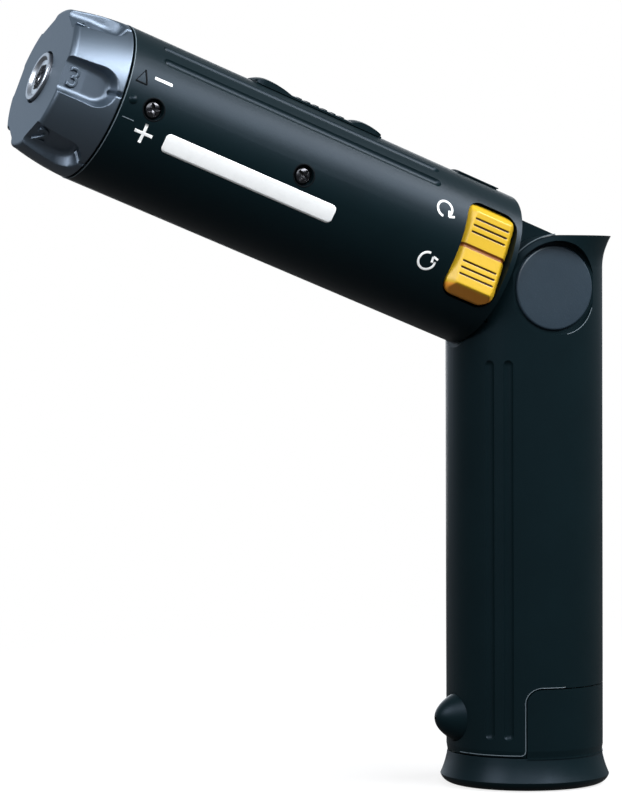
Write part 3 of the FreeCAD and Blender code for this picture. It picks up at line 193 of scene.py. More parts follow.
class Look:
    """A node material, or another node tree, that is being put together."""

    def __init__(self, tree):
        self.tree = tree
        tree.nodes.clear()

    def node(self, kind, settings, inputs):
        """One node: its settings first, then a value or a link for each named or numbered socket."""
        node = self.tree.nodes.new(kind)
        for key, item in settings.items():
            setattr(node, key, item)
        for key, item in inputs.items():
            if isinstance(item, Signal):
                self.tree.links.new(item.socket, node.inputs[key])
            else:
                node.inputs[key].default_value = item
        return node

    def signal(self, kind, settings, inputs, output=0):
        return Signal(self, self.node(kind, settings, inputs).outputs[output])

    def math(self, operation, *terms):
        return self.signal("ShaderNodeMath", {"operation": operation}, dict(enumerate(terms)))

    def place(self):
        return self.signal("ShaderNodeTexCoord", {}, {}, "Object")

    def noise(self, where, scale, detail=2.0, rough=0.5):
        inputs = {"Vector": where, "Scale": scale, "Detail": detail, "Roughness": rough}
        return self.signal("ShaderNodeTexNoise", {}, inputs)

    def step(self, item, low, high):
        """0 below low, 1 above high, smooth between."""
        settings = {"interpolation_type": "SMOOTHSTEP"}
        inputs = {"Value": item, "From Min": low, "From Max": high}
        return self.signal("ShaderNodeMapRange", settings, inputs)

    def spread(self, item, low, high):
        """A signal between 0 and 1 stretched to run from low to high."""
        return item * (high - low) + low

    def mix(self, share, first, second):
        inputs = {0: share, 6: first, 7: second}
        return self.signal("ShaderNodeMix", {"data_type": "RGBA"}, inputs, 2)

    def above(self, item, limits):
        """0 below the first of two limits in millimetres, 1 above the second, smooth between."""
        return self.step(item, limits[0] * MM, limits[1] * MM)

    def below(self, item, limits):
        """1 below the first of two limits in millimetres, 0 above the second, smooth between."""
        return 1 - self.above(item, limits)

    def along(self, where, origin, axis):
        """How far a place lies from an origin along an axis."""
        inputs = {0: where, 1: tuple(origin)}
        offset = self.signal("ShaderNodeVectorMath", {"operation": "SUBTRACT"}, inputs)
        return self.signal("ShaderNodeVectorMath", {"operation": "DOT_PRODUCT"}, {0: offset, 1: tuple(axis)}, 1)

    def bump(self, height, distance):
        return self.signal("ShaderNodeBump", {}, {"Height": height, "Distance": distance, "Strength": 1.0})

    def surface(self, inputs):
        """The one shader of a material and its output."""
        shader = self.node("ShaderNodeBsdfPrincipled", {}, inputs)
        self.node("ShaderNodeOutputMaterial", {}, {"Surface": Signal(self, shader.outputs[0])})


def shade(colour, share):
    """A colour with every part times a share, with full alpha."""
    return (*(min(part * share, 1) for part in colour), 1)


def material(name):
    made = bpy.data.materials.get(name) or bpy.data.materials.new(name)
    made.use_nodes = True
    return made, Look(made.node_tree)


def moulded(name, colour, rough=0.45, grain=0.00028, depth=0.000012, contrast=0.25, gloss=0.5,
            sheen=(1, 1, 1, 1), bend=1.5):
    """Moulded plastic: spark-eroded grain as bump and gloss, clouded colour, and a few rubbed spots."""
    made, look = material(name)
    where = look.place()
    fine = look.noise(where, 1 / grain, 3)
    cloud = look.noise(where, 45, 4, 0.6)
    rubbed = look.step(look.noise(where, 16, 5, 0.65), 0.56, 0.78)
    tone = look.mix(cloud, shade(colour, 1 - contrast), shade(colour, 1 + contrast))
    speck = look.step(fine, 0.6, 0.8) * 0.35
    tone = look.mix(speck, tone, shade(colour, 1.9))
    gloss_map = look.spread(fine, rough - 0.06, rough + 0.06) - rubbed * 0.07
    look.surface({"Base Color": tone, "Roughness": gloss_map, "Normal": look.bump(fine, depth),
                  "Specular IOR Level": gloss, "Specular Tint": sheen, "IOR": bend})
    return made


def metal(name, colour, rough, grime=0.35, depth=0.000004):
    """Worked metal: fine grain as bump and gloss, with duller clouds in the colour."""
    made, look = material(name)
    where = look.place()
    grain = look.noise(where, 2600, 3)
    cloud = look.noise(where, 130, 4, 0.6)
    tone = look.mix(look.step(cloud, 0.42, 0.75) * grime, shade(colour, 1), shade(colour, 0.45))
    gloss_map = look.spread(grain, rough - 0.08, rough + 0.08) + cloud * 0.1
    look.surface({"Base Color": tone, "Metallic": 1.0, "Roughness": gloss_map,
                  "Normal": look.bump(grain, depth)})
    return made


def painted(name, colour):
    """Pad-printed paint: chalky white, a little thin in places."""
    made, look = material(name)
    where = look.place()
    fine = look.noise(where, 4200, 2)
    cloud = look.noise(where, 420, 3)
    tone = look.mix(look.step(cloud, 0.35, 0.8) * 0.5, shade(colour, 1), shade(colour, 0.9))
    look.surface({"Base Color": tone, "Roughness": look.spread(fine, 0.5, 0.62),
                  "Normal": look.bump(fine, 0.000004)})
    return made


def rocker_look(name, colour, groove_shade):
    """Rocker plastic with painted shade in its pressed-in lines, its middle valley and on its lower end: bands across
    it, counted from the valley in its middle.
    """
    made, look = material(name)
    where = look.place()
    middle = JOINTS["rocker_tilt"]["pos_m"]
    along, across, out = (look.along(where, middle, axis) for axis in rocker_axes())
    far = abs(across)
    half = (LINE_PLACES[1] - LINE_PLACES[0]) / 2
    first, last = LINE_PLACES[0] - half, LINE_PLACES[-1] + half
    ladder = abs(look.math("PINGPONG", far - first * MM, half * MM) - half * MM)
    lines = look.below(ladder, LINE_SHADE_SPAN) * look.above(far, (first - LADDER_ENDS, first + LADDER_ENDS))
    lines = lines * look.below(far, (last - LADDER_ENDS, last + LADDER_ENDS)) * look.below(abs(along), LINE_ENDS)
    valley = look.below(far, VALLEY_SHADE_SPAN)
    raised = look.above(out, PAD_TINT)
    fine = look.noise(where, 3600, 3)
    cloud = look.noise(where, 260, 4)
    tone = look.mix(cloud, shade(colour, 0.93), shade(colour, 1))
    # Painted shade on the lower end face, which faces down.
    tone = look.mix(look.below(across, LOW_END_SHADE_SPAN), tone, LOW_END_SHADE_TONE)
    # Painted shade in the valley and in the lines.
    tone = look.mix(valley * raised, tone, shade(groove_shade, 2.2))
    tone = look.mix(lines * raised, tone, shade(groove_shade, 0.4))
    look.surface({"Base Color": tone, "Roughness": look.spread(fine, 0.34, 0.46),
                  "Normal": look.bump(fine, 0.000005), "Specular IOR Level": 0.5})
    return made


def make_materials():
    """One procedural material for every slot of the record, and those of the nose, the prints and the marks."""
    tones = colours()
    blue = (*tones.sheen, 1)
    plastics = {
        "body_plastic": dict(colour=tones.body, rough=0.36, depth=0.00001, gloss=0.16, sheen=blue),
        "collar_plastic": dict(colour=tones.collar, rough=0.42, grain=0.0004, depth=0.000006, contrast=0.08,
                               gloss=1.0, sheen=blue, bend=1.8),
        "cap_plastic": dict(colour=tones.cap, rough=0.36, grain=0.0005, depth=0.00002, contrast=0.3),
        "inner_plastic": dict(colour=(0.022, 0.023, 0.026), rough=0.5),
        "cell_sleeve": dict(colour=(0.06, 0.19, 0.11), rough=0.3, grain=0.0006, depth=0.000004, contrast=0.1),
        "magnet": dict(colour=(0.035, 0.034, 0.033), rough=0.62, grain=0.0002, depth=0.00002, contrast=0.4),
        "gear_plastic": dict(colour=(0.62, 0.6, 0.52), rough=0.42, grain=0.0004, depth=0.000006, contrast=0.06),
        # painted shade: near-black for the triangle's lines and the rings round the screws
        "mark_dark": dict(colour=(0.002, 0.003, 0.004), rough=0.6, gloss=0.05),
        # painted highlight on thin edges, seams and rims
        "edge_light": dict(colour=tones.edge, rough=0.4, gloss=0.3),
    }
    metals = {
        "screw_steel": dict(colour=(0.07, 0.07, 0.075), rough=0.16),
        "steel": dict(colour=(0.72, 0.74, 0.77), rough=0.2),
        "nose_steel": dict(colour=(0.5, 0.52, 0.56), rough=0.3),
        "spring_steel": dict(colour=(0.42, 0.44, 0.47), rough=0.3),
        "contact_brass": dict(colour=(0.78, 0.55, 0.22), rough=0.24),
        "case_metal": dict(colour=(0.46, 0.47, 0.48), rough=0.42, grime=0.5, depth=0.00001),
    }
    made = {name: moulded(name, **values) for name, values in plastics.items()}
    made |= {name: metal(name, **values) for name, values in metals.items()}
    made["rocker_plastic"] = rocker_look("rocker_plastic", tones.rocker, tones.groove_shade)
    made["print_white"] = painted("print_white", tones.paint)
    return made


def look_of(name):
    made = bpy.data.materials.get(name)
    if made is None:
        raise RuntimeError(f"there is no material named {name}; run the inside operator first")
    return made


def linked(name, data):
    """A new object in the scene."""
    item = bpy.data.objects.new(name, data)
    bpy.context.scene.collection.objects.link(item)
    return item


def put(name, vertices, faces, body, slot, paint=None, smooth=True, sharp=None):
    """A new piece from arrays, on a body, with a slot's material or a paint of its own.

    Where a sharp angle is given, edges that turn by more than it stay sharp in the smooth shading.
    """
    mesh = bpy.data.meshes.new(name)
    mesh.from_pydata(np.asarray(vertices, float).tolist(), [], [list(face) for face in faces])
    mesh.validate()
    mesh.shade_smooth() if smooth else mesh.shade_flat()
    if sharp is not None:
        mesh.set_sharp_from_angle(angle=math.radians(sharp))
    mesh.materials.append(look_of(paint or slot))
    item = linked(name, mesh)
    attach(item, body)
    return item


def net(rows, columns, wrap_rows=False, wrap_columns=False):
    """The four corners of each cell of a grid of points, by number."""
    r = np.arange(rows if wrap_rows else rows - 1)
    c = np.arange(columns if wrap_columns else columns - 1)
    r, c = np.meshgrid(r, c, indexing="ij")
    r2, c2 = (r + 1) % rows, (c + 1) % columns
    cells = np.stack([r * columns + c, r * columns + c2, r2 * columns + c2, r2 * columns + c], -1)
    return cells.reshape(-1, 4)


def sheet(points, wrap_rows=False, wrap_columns=True):
    """A grid of places as a list of points with its faces."""
    return points.reshape(-1, 3), net(*points.shape[:2], wrap_rows, wrap_columns)


def around(count):
    """Evenly spaced angles of one whole turn, as a row."""
    return np.linspace(0, 360, count + 1)[:-1][None, :]


def from_nearest(angle, step):
    """How far an angle lies from the nearest whole number of steps."""
    return (angle + step / 2) % step - step / 2


def stations(marks, counts):
    """Places that run through all the marks, with a count of even steps from each mark to the next."""
    runs = [np.linspace(*ends, count + 1)[:-1] for *ends, count in zip(marks, marks[1:], counts)]
    return np.concatenate([*runs, marks[-1:]])


def together(parts):
    """Several (points, faces) pairs as one."""
    points, faces, count = [], [], 0
    for spots, cells in parts:
        points.append(spots)
        faces.extend((np.asarray(face) + count).tolist() for face in cells)
        count += len(spots)
    return np.concatenate(points), faces


EDGE_ANGLE, MERGE, SLIVER, FLAT_ANGLE = 32, 0.002, 0.001, 0.3


def bare_copy(node):
    """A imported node's corners and faces in a new mesh, with equal corners merged and flat faces joined."""
    source = frame["nodes"][node].data
    mesh = bpy.data.meshes.new(f"{node}_finished")
    loops = np.empty(len(source.loops), np.int32)
    source.loops.foreach_get("vertex_index", loops)
    mesh.from_pydata(corners(source).tolist(), [], loops.reshape(-1, 3).tolist())
    work = bmesh.new()
    work.from_mesh(mesh)
    bmesh.ops.remove_doubles(work, verts=work.verts, dist=MERGE * MM)
    bmesh.ops.dissolve_degenerate(work, edges=work.edges, dist=SLIVER * MM)
    bmesh.ops.dissolve_limit(work, angle_limit=math.radians(FLAT_ANGLE), verts=work.verts, edges=work.edges)
    work.to_mesh(mesh)
    work.free()
    return mesh


def finished(node, edge):
    """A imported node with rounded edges: a copy of its mesh with a narrow bevel, which stands for the node."""
    mesh = bare_copy(node)
    mesh.shade_smooth()
    mesh.set_sharp_from_angle(angle=math.radians(EDGE_ANGLE))
    mesh.materials.append(look_of(SLOTS[node]))
    item = linked(f"{node}_finished", mesh)
    bevel = item.modifiers.new("rounded edges", "BEVEL")
    bevel.limit_method = "ANGLE"
    bevel.angle_limit = math.radians(EDGE_ANGLE)
    bevel.width = edge
    bevel.segments = 2
    bevel.use_clamp_overlap = False
    bevel.harden_normals = True
    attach(item, BODIES[node])
    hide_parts(node)
    return item


class DRIVER_OT_inside(bpy.types.Operator):
    """Makes every slot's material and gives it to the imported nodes"""

    bl_idname = "driver.inside"
    bl_label = "Materials and inner pieces"

    def execute(self, context):
        made = make_materials()
        for node, item in frame["nodes"].items():
            item.data.materials.clear()
            item.data.materials.append(made[SLOTS[node]])
        return {"FINISHED"}


def rocker_axes():
    """The rocker's own directions: along the barrel, across the paddle and out of its face."""
    lean = math.radians(ROCKER_LEAN)
    across = TOP * math.cos(lean) - NEAR * math.sin(lean)
    return FORWARD, across, NEAR * math.cos(lean) + TOP * math.sin(lean)


def rocker_surface():
    """A paddle in millimetres about its pin: two pads in a shallow V, inside a rounded oblong.

    Each pad rises in proportion to its distance from the middle. Inside a border the face drops at a steady slope,
    gentle along the sides and steep at both ends, and the larger drop counts. Narrow bell-shaped cuts make the valley
    between the pads and three lines on each. A flat underside closes it.
    """
    across = np.linspace(-ROCKER_HALF, ROCKER_HALF, 205)
    share = np.sin(np.linspace(-0.5, 0.5, 65) * np.pi)
    bend = np.clip(np.abs(across) - (ROCKER_HALF - ROCKER_CORNER), 0, None)
    room = ROCKER_WIDE - ROCKER_CORNER + np.sqrt(np.clip(ROCKER_CORNER ** 2 - bend ** 2, 0, None))
    along = share[None, :] * room[:, None]
    across = np.repeat(across[:, None], len(share), 1)
    far = np.abs(across) / ROCKER_HALF
    side = SIDE_SLOPE * (SIDE_BORDER + SIDE_SWELL * far ** 2 - (room[:, None] - np.abs(along)))
    slope = np.where(across > 0, UPPER_SLOPE, LOWER_SLOPE)
    end = slope * (np.where(across > 0, UPPER_BORDER, LOWER_BORDER) - (ROCKER_HALF - np.abs(across)))
    drop = BORDER_BLEND * np.logaddexp(0, np.logaddexp(side / BORDER_BLEND, end / BORDER_BLEND))
    height = ROCKER_LEVEL + ROCKER_RISE * far - drop - VALLEY_DEPTH * np.exp(-(across / VALLEY_HALF) ** 4)
    open_share = 1 / (1 + np.exp((np.abs(along) - LINE_REACH) / LINE_BLEND))
    for place in LINE_PLACES:
        height = height - LINE_DEPTH * open_share * np.exp(-((np.abs(across) - place) / LINE_HALF) ** 2)
    top = np.stack([along, across, height], -1)
    under = np.stack([along, across, np.full_like(height, ROCKER_UNDER)], -1)
    rows, columns = height.shape
    grid = np.arange(rows * columns).reshape(rows, columns)
    rim = np.concatenate([grid[0, :-1], grid[:-1, -1], grid[-1, :0:-1], grid[:0:-1, 0]])
    after = np.roll(rim, -1)
    lower = rows * columns
    wall = np.stack([rim, rim + lower, after + lower, after], -1)
    cells = np.concatenate([net(rows, columns), net(rows, columns)[:, ::-1] + lower, wall])
    return np.concatenate([top.reshape(-1, 3), under.reshape(-1, 3)]), cells


class DRIVER_OT_rocker(bpy.types.Operator):
    """Moulds the rocker's two pads with their lines and sloped border"""

    bl_idname = "driver.rocker"
    bl_label = "Rocker"

    def execute(self, context):
        spots, cells = rocker_surface()
        points = np.array(JOINTS["rocker_tilt"]["pos_m"]) + MM * spots @ np.array(rocker_axes())
        rocker = put("rocker_paddle", points, cells, "rocker", "rocker_plastic", sharp=60)
        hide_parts("rocker")
        return {"FINISHED"}


LATCH_RADIUS, LATCH_RISE, LATCH_BACK, LATCH_SINK, LATCH_POWER = 6.3, 5.5, 17.4, 0.1, 0.95


def latch_surface():
    """A push button about the x axis: the handle's round face, with a bell that fades out at the button's rim.

    The bell is a power of one less the squared share of the radius. A straight skirt and a flat back close it.
    """
    low, high = (np.array(corner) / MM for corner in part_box("latch_button"))
    middle = (low[2] + high[2]) / 2
    turn = np.radians(around(72))
    share = np.sin(np.linspace(POLE, 0.5, 26) * np.pi)[:, None]
    ring = LATCH_RADIUS * share
    side, rise = ring * np.sin(turn), ring * np.cos(turn)
    out = np.sqrt(GRIP_RADIUS ** 2 - side ** 2) - LATCH_SINK + LATCH_RISE * (1 - share ** 2) ** LATCH_POWER
    skirt = np.stack([0 * turn[0] - LATCH_BACK, side[-1], middle + rise[-1]], -1)
    back = skirt * [1, POLE, 0] + [0, 0, middle]
    points = np.concatenate([np.stack([-out, side, middle + rise], -1), skirt[None], back[None]])
    return sheet(MM * points)


class DRIVER_OT_latch(bpy.types.Operator):
    """Moulds the battery's latch as a soft button in the handle's face"""

    bl_idname = "driver.latch"
    bl_label = "Latch"

    def execute(self, context):
        latch = put("latch_bell", *latch_surface(), BODIES["latch_button"], "body_plastic", sharp=50)
        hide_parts("latch_button")
        return {"FINISHED"}


NOSE_FACE, NOSE_TURN, HEX_HALF, HEX_STEP = reach("spindle")[1] + 0.45, 8, 3.25, 60
NOSE_OUTLINE = np.array([  # radius, place from the face, and share of the hexagon
    (6.45, -2.2, 0), (6.45, 0.1, 0), (6.3, 0.25, 0), (5.75, 0.3, 0), (5.5, 0.25, 0), (4.6, -0.5, 0),
    (4.5, -0.6, 0), (0, -1.5, 1), (0, -9.5, 1), (POLE, -9.6, 0)])


def nose_surface():
    """A turned steel nose about the spindle's axis: an outline of radius and place that becomes a hexagon inside.

    The share of the hexagon grows from 0 at the face to 1 at the foot of the lead-in cone. The hexagon's radius is its
    half width over the cosine of the angle from the middle of the nearest side.
    """
    turn = around(144)
    hexagon = HEX_HALF / np.cos(np.radians(from_nearest(turn + NOSE_TURN, HEX_STEP)))
    radius, along, share = (NOSE_OUTLINE[:, [column]] for column in range(3))
    radius = radius * (1 - share) + hexagon * share
    return sheet(on_barrel(NOSE_FACE + along, turn, radius))


CAP_RADIUS, CAP_ROUND, CAP_INNER = 11.2, 0.6, 5
CAP_FACE, CAP_BACK = (-corner.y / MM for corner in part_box("pivot_cap_near"))
# The painted highlight on the near cap's rim: its angles, half width, inset, lift and bend.
SICKLE_TURN, SICKLE_HALF, SICKLE_INSET, SICKLE_LIFT, SICKLE_BEND = (75, 150), 0.16, 0.45, 0.01, (0.03, 0, 0.06)


def cap_surface(side):
    """A disc about the pivot with a rounded rim, sunk in the ear: an outline of radius and depth carried round y."""
    bend = np.radians(np.linspace(0, 90, 9))
    rim = np.column_stack([CAP_RADIUS - CAP_ROUND * (1 - np.sin(bend)), CAP_FACE - CAP_ROUND * (1 - np.cos(bend))])
    outline = np.concatenate([
        [(POLE, CAP_FACE), (CAP_INNER, CAP_FACE)], rim, [(CAP_RADIUS, CAP_BACK), (POLE, CAP_BACK)]])
    turn = np.radians(around(96))
    radius, depth = outline[:, :1], outline[:, 1:]
    points = np.stack([radius * np.cos(turn), -side * depth + 0 * turn, PIVOT[2] / MM + radius * np.sin(turn)], -1)
    points, cells = sheet(MM * points)
    return points, cells if side < 0 else cells[:, ::-1]


class DRIVER_OT_caps(bpy.types.Operator):
    """Turns the two pivot caps with a rounded rim, and paints a highlight on the near one's edge"""

    bl_idname = "driver.caps"
    bl_label = "Pivot caps"

    def execute(self, context):
        for node, side in (("pivot_cap_near", 1), ("pivot_cap_far", -1)):
            disc = put(f"{node}_disc", *cap_surface(side), BODIES[node], SLOTS[node], sharp=40)
            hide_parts(node)
        put("cap_edge", *self.edge(), BODIES["pivot_cap_near"], "cap_plastic", "edge_light")
        return {"FINISHED"}

    def edge(self):
        """A painted highlight on the near cap's rim: an arc whose width swells in its middle."""
        turn = np.radians(np.linspace(*SICKLE_TURN, 40))[:, None]
        half = SICKLE_HALF * np.sin(np.linspace(0.06, 0.94, 40) * np.pi)[:, None]
        radius = CAP_RADIUS - SICKLE_INSET + half * np.array([[-1, 0, 1]])
        depth = -CAP_FACE - SICKLE_LIFT + np.array([SICKLE_BEND]) + 0 * turn
        points = np.stack([radius * np.cos(turn), depth, PIVOT[2] / MM + radius * np.sin(turn)], -1)
        return sheet(MM * points, wrap_columns=False)


NUT_TRAVEL, LATCH_GIVE = 2.05, 1.02


class DRIVER_OT_springs(bpy.types.Operator):
    """Puts a copy of the clutch spring and of the latch's leaf spring on their bodies in place of the packed ones"""

    bl_idname = "driver.springs"
    bl_label = "Springs"

    def execute(self, context):
        rear, front = reach("clutch_spring")
        share = NUT_TRAVEL / (front - rear)
        self.soft("clutch_spring", "torque_dial", FORWARD, PIVOT + MM * rear * FORWARD, 1 - share)
        low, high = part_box("latch_spring")
        press = max(abs(limit) for limit in JOINTS["latch_press"]["range_m"])
        self.soft("latch_spring", "latch_press", (1, 0, 0), low, 1 - LATCH_GIVE * press / (high.x - low.x))
        return {"FINISHED"}

    def soft(self, node, joint, axis, anchor, keep):
        """A copy of a packed spring on its body, which stands for it; the joint, axis, anchor and share to keep are not
        used.
        """
        item = linked(f"{node}_soft", frame["nodes"][node].data.copy())
        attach(item, BODIES[node])
        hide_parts(node)
        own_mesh(item)


class DRIVER_OT_spindle(bpy.types.Operator):
    """Rounds the edges of the steel spindle and turns its nose with the hexagon socket"""

    bl_idname = "driver.spindle"
    bl_label = "Spindle"

    def execute(self, context):
        finished("spindle", sizes().metal_edge)
        put("spindle_nose", *nose_surface(), BODIES["spindle"], "steel", "nose_steel", sharp=28)
        return {"FINISHED"}


FLUTES, FLUTE_STEP, FIRST_FLUTE, SHOWN_NUMBER = 6, 60, 90, 3
FLUTE_FLOOR, FLUTE_HALF, FLUTE_CORNER, FLUTE_REAR = 17.3, 4.75, 4.2, COLLAR_FRONT - 13.1
FLUTE_LEVEL, FLUTE_FALL, FLUTE_BLEND = COLLAR_FRONT - 6, 0.11, 0.07
FILLET, FILLET_SHARE, WALL_SLOPE = 1.5, 0.92, 2.4
NOTCH_HALF, NOTCH_DEPTH, NOTCH_END, NOTCH_FADE = 0.7, 0.9, FLUTE_REAR + 0.6, 0.2
DIGIT_PLACE, DIGIT_SINK, DIGIT_SHARE = COLLAR_FRONT - 3.2, 0.3, 0.7
COLLAR_REAR, COLLAR_FACE = BARREL_FRONT + 0.4, COLLAR_FRONT - 0.1
COLLAR_WIDE, COLLAR_TAPER, COLLAR_SWELL = 20.9, 2, 1.45
RIM_RADIUS, RIM_PLACE, RIM_ROUND = 17.5, COLLAR_FRONT - 1.5, 1.4


def soft_least(first, second, width):
    """The smaller of two arrays, rounded over where they meet within a width."""
    return -width * np.logaddexp(-first / width, -second / width)


def flute_cut(radius, along, angle):
    """The collar's radius with six thumb flutes and their index notches taken out.

    Across a flute the floor is flat, and towards the front it falls at a steady slope. Near its outline, a
    rectangle with rounded rear corners, it turns up in a fillet and leaves at a steep slope. The outline's distance is
    negative inside.
    """
    offset = from_nearest(angle - FIRST_FLUTE, FLUTE_STEP)
    side = radius * np.sin(np.radians(offset))
    across = np.abs(side) - (FLUTE_HALF - FLUTE_CORNER)
    behind = (FLUTE_REAR + FLUTE_CORNER) - along
    distance = np.hypot(np.maximum(across, 0), np.maximum(behind, 0)) + np.minimum(np.maximum(across, behind), 0)
    distance = distance - FLUTE_CORNER
    lift = np.clip(distance + FILLET, 0, None)
    wall = FILLET - np.sqrt(np.clip(FILLET ** 2 - np.minimum(lift, FILLET * FILLET_SHARE) ** 2, 0, None))
    wall = wall + np.clip(lift - FILLET * FILLET_SHARE, 0, None) * WALL_SLOPE
    slope = FLUTE_FALL * np.clip(along - FLUTE_LEVEL, 0, None)
    floor = (FLUTE_FLOOR - slope + wall) / np.cos(np.radians(offset))
    cut = soft_least(radius, floor, FLUTE_BLEND)
    notch = np.clip(1 - np.abs(side) / NOTCH_HALF, 0, 1) * np.clip((NOTCH_END - along) / NOTCH_FADE, 0, 1)
    return cut - NOTCH_DEPTH * notch


def collar_surface():
    """A closed outline of (radius, place) carried round the axis; its outer stretch is cut by the flutes."""
    cone = stations((0.25, 2.2, 6.8, 14.1), (9, 33, 25))
    share = cone / cone[-1]
    turn = np.radians(np.linspace(0, 90, 12)[1:])
    outer = np.concatenate([
        np.column_stack([COLLAR_WIDE - COLLAR_TAPER * share + COLLAR_SWELL * share * (1 - share), COLLAR_REAR + cone]),
        np.column_stack([RIM_RADIUS + RIM_ROUND * np.cos(turn), RIM_PLACE + RIM_ROUND * np.sin(turn)]),
        [(17.1, COLLAR_FACE), (16.8, COLLAR_FACE)]])
    face = np.column_stack([np.linspace(16.6, 7.4, 10), COLLAR_FACE + np.linspace(0, 0.08, 10)])
    rest = np.array([  # the bore, the inner wall with its snap groove, and the rear edge
        (7.1, COLLAR_FRONT - 0.03), (6.97, COLLAR_FRONT - 0.2), (6.95, COLLAR_FRONT - 0.5),
        (6.95, COLLAR_FRONT - 3.4), (14.6, COLLAR_FRONT - 4.2), (14.6, BARREL_FRONT - 5.3),
        (17.8, BARREL_FRONT - 5.3), (17.8, BARREL_FRONT - 4.1), (16.8, BARREL_FRONT - 4.1),
        (16.8, BARREL_FRONT - 2.1), (17.8, BARREL_FRONT - 2.1), (17.8, COLLAR_REAR), (20.55, COLLAR_REAR),
        (20.78, COLLAR_REAR + 0.08)])
    outline = np.concatenate([outer, face, rest])
    sector = stations((-30, -17, -10, -2, 2, 10, 17, 30), (8, 23, 7, 12, 7, 23, 8))[:-1]
    angle = (FIRST_FLUTE + np.concatenate([sector + FLUTE_STEP * index for index in range(FLUTES)]))[None, :]
    radius, along = np.repeat(outline[:, :1], angle.shape[1], 1), outline[:, 1:]
    cut = len(outer)
    radius[:cut] = flute_cut(radius[:cut], along[:cut], angle)
    return sheet(on_barrel(along, angle, radius), wrap_rows=True)


def lettering(text, height, rise):
    """A character as points and faces: x to the right, y up, z out, with its middle at the origin."""
    curve = bpy.data.curves.new("lettering", "FONT")
    curve.body = text
    curve.size = 1
    curve.bevel_depth = 0.035
    curve.offset = -0.02
    curve.bevel_resolution = 2
    curve.extrude = DIGIT_SHARE * rise / height - curve.bevel_depth
    curve.resolution_u = 6
    holder = bpy.data.objects.new("lettering", curve)
    mesh = bpy.data.meshes.new_from_object(holder)
    spots = corners(mesh)
    faces = [list(face.vertices) for face in mesh.polygons]
    bpy.data.objects.remove(holder)
    bpy.data.curves.remove(curve)
    bpy.data.meshes.remove(mesh)
    low, high = spots.min(0), spots.max(0)
    spots = spots - (low + high) / 2
    return spots * height / (high[1] - low[1]), faces


class DRIVER_OT_collar(bpy.types.Operator):
    """Turns the torque collar with its six flutes, and sets a raised number in each"""

    bl_idname = "driver.collar"
    bl_label = "Torque collar"

    def execute(self, context):
        collar = put("collar_shell", *collar_surface(), "collar", "collar_plastic", sharp=50)
        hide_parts("clutch_collar")
        numbers = [self.number(index) for index in range(FLUTES)]
        put("collar_numbers", *together(numbers), "collar", "collar_plastic", smooth=False)
        return {"FINISHED"}

    def number(self, index):
        """The raised number on the floor of one flute, counted from the near side's."""
        digit = str((SHOWN_NUMBER - 1 - index) % FLUTES + 1)
        spots, cells = lettering(digit, sizes().digit_height, sizes().digit_rise)
        turn = math.radians(FIRST_FLUTE + FLUTE_STEP * index)
        out = math.cos(turn) * TOP + math.sin(turn) * NEAR
        up = math.sin(turn) * TOP - math.cos(turn) * NEAR
        middle = PIVOT + MM * (DIGIT_PLACE * FORWARD + (FLUTE_FLOOR - DIGIT_SINK) * out)
        return middle + spots @ np.array([-FORWARD, up, out]), cells


def sideways(path):
    """The direction to the left of a flat path at each of its places."""
    heading = np.gradient(path, axis=0)
    heading /= np.linalg.norm(heading, axis=1)[:, None]
    return np.column_stack([-heading[:, 1], heading[:, 0]])


ROOT = -0.06  # how far below the surface a raised line or a print begins


def strip(path, width, lift, body_radius=BARREL_RADIUS):
    """A raised line on the barrel: a flat-topped section carried along a path of (place, arc length from the top)."""
    normal = sideways(path)
    section = np.array([(-0.5, ROOT), (-0.5, 0.7), (-0.44, 1), (0, 1), (0.44, 1), (0.5, 0.7), (0.5, ROOT)])
    spots = path[:, None, :] + normal[:, None, :] * (section[:, 0] * width)[None, :, None]
    height = body_radius + np.where(section[:, 1] < 0, section[:, 1], section[:, 1] * lift)
    angle = np.degrees(spots[..., 1] / body_radius)
    points, faces = sheet(on_barrel(spots[..., 0], angle, height), wrap_columns=False)
    start = np.arange(len(section))
    stop = start[::-1] + (len(path) - 1) * len(section)
    return points, [*faces, start, stop]


def line(start, stop, count=8):
    """Evenly spaced places between two."""
    share = np.linspace(0, 1, count)[:, None]
    return np.asarray(start) + (np.asarray(stop) - np.asarray(start)) * share


def arc_length(angle):
    """Arc length round the barrel from its top for an angle in degrees."""
    return math.radians(angle) * BARREL_RADIUS


def level_line(low, high, angle):
    """A straight path along the barrel at an angle from its top."""
    return line((low, arc_length(angle)), (high, arc_length(angle)))


# Minus: both ends and angle. Plus: middle, angle and half length. Arrows: what turn_arrow takes.
MINUS, MINUS_WIDTH = (118.7, 123.7, 68.3), 0.85
PLUS, PLUS_WIDTH = (121.8, 107.7, 2.5), 0.8
ARROWS, ARROW_WIDTH = (
    (37.8, 70, 2.15, 266, -30, (-1.6, 1.76), ((0.27, -1.7), (-1.62, -0.52))),
    (37.8, 110.4, 2.3, 87, 375, (-1.23, -1.67), ((-1.51, 0.36), (-0.18, 1.54)))), 0.62
LABEL_LOW, LABEL_HIGH, LABEL_ANGLE, LABEL_HALF, LABEL_CORNER = 66.5, 116.0, 107.4, 2.5, 1.3
LABEL_STEP, LABEL_MIDDLE = 4, 9  # from an end's round to its next row, and from the end to the even rows
SKIRT_INSET, SKIRT_TRIM, SKIRT_RISE, SKIRT_LIFT = 0.2, 1, 0.3, 0.09


def turn_arrow(place, angle, radius, start, stop, tip, barbs):
    """A round arrow: an arc of a circle on the barrel, then two short barbs from its tip.

    Angles count from the right of the circle, anticlockwise, where right is towards the handle and up is the top.
    The tip is given from the middle of the circle, and each barb from the tip: forwards first, then downwards.
    """
    middle = np.array([place, arc_length(angle)])
    ring = circle(-radius, middle, start, stop, 40)
    point = middle + np.asarray(tip)
    heads = [line(point, point + np.asarray(barb)) for barb in barbs]
    return [strip(path, ARROW_WIDTH, sizes().print_rise / MM) for path in (ring, *heads)]


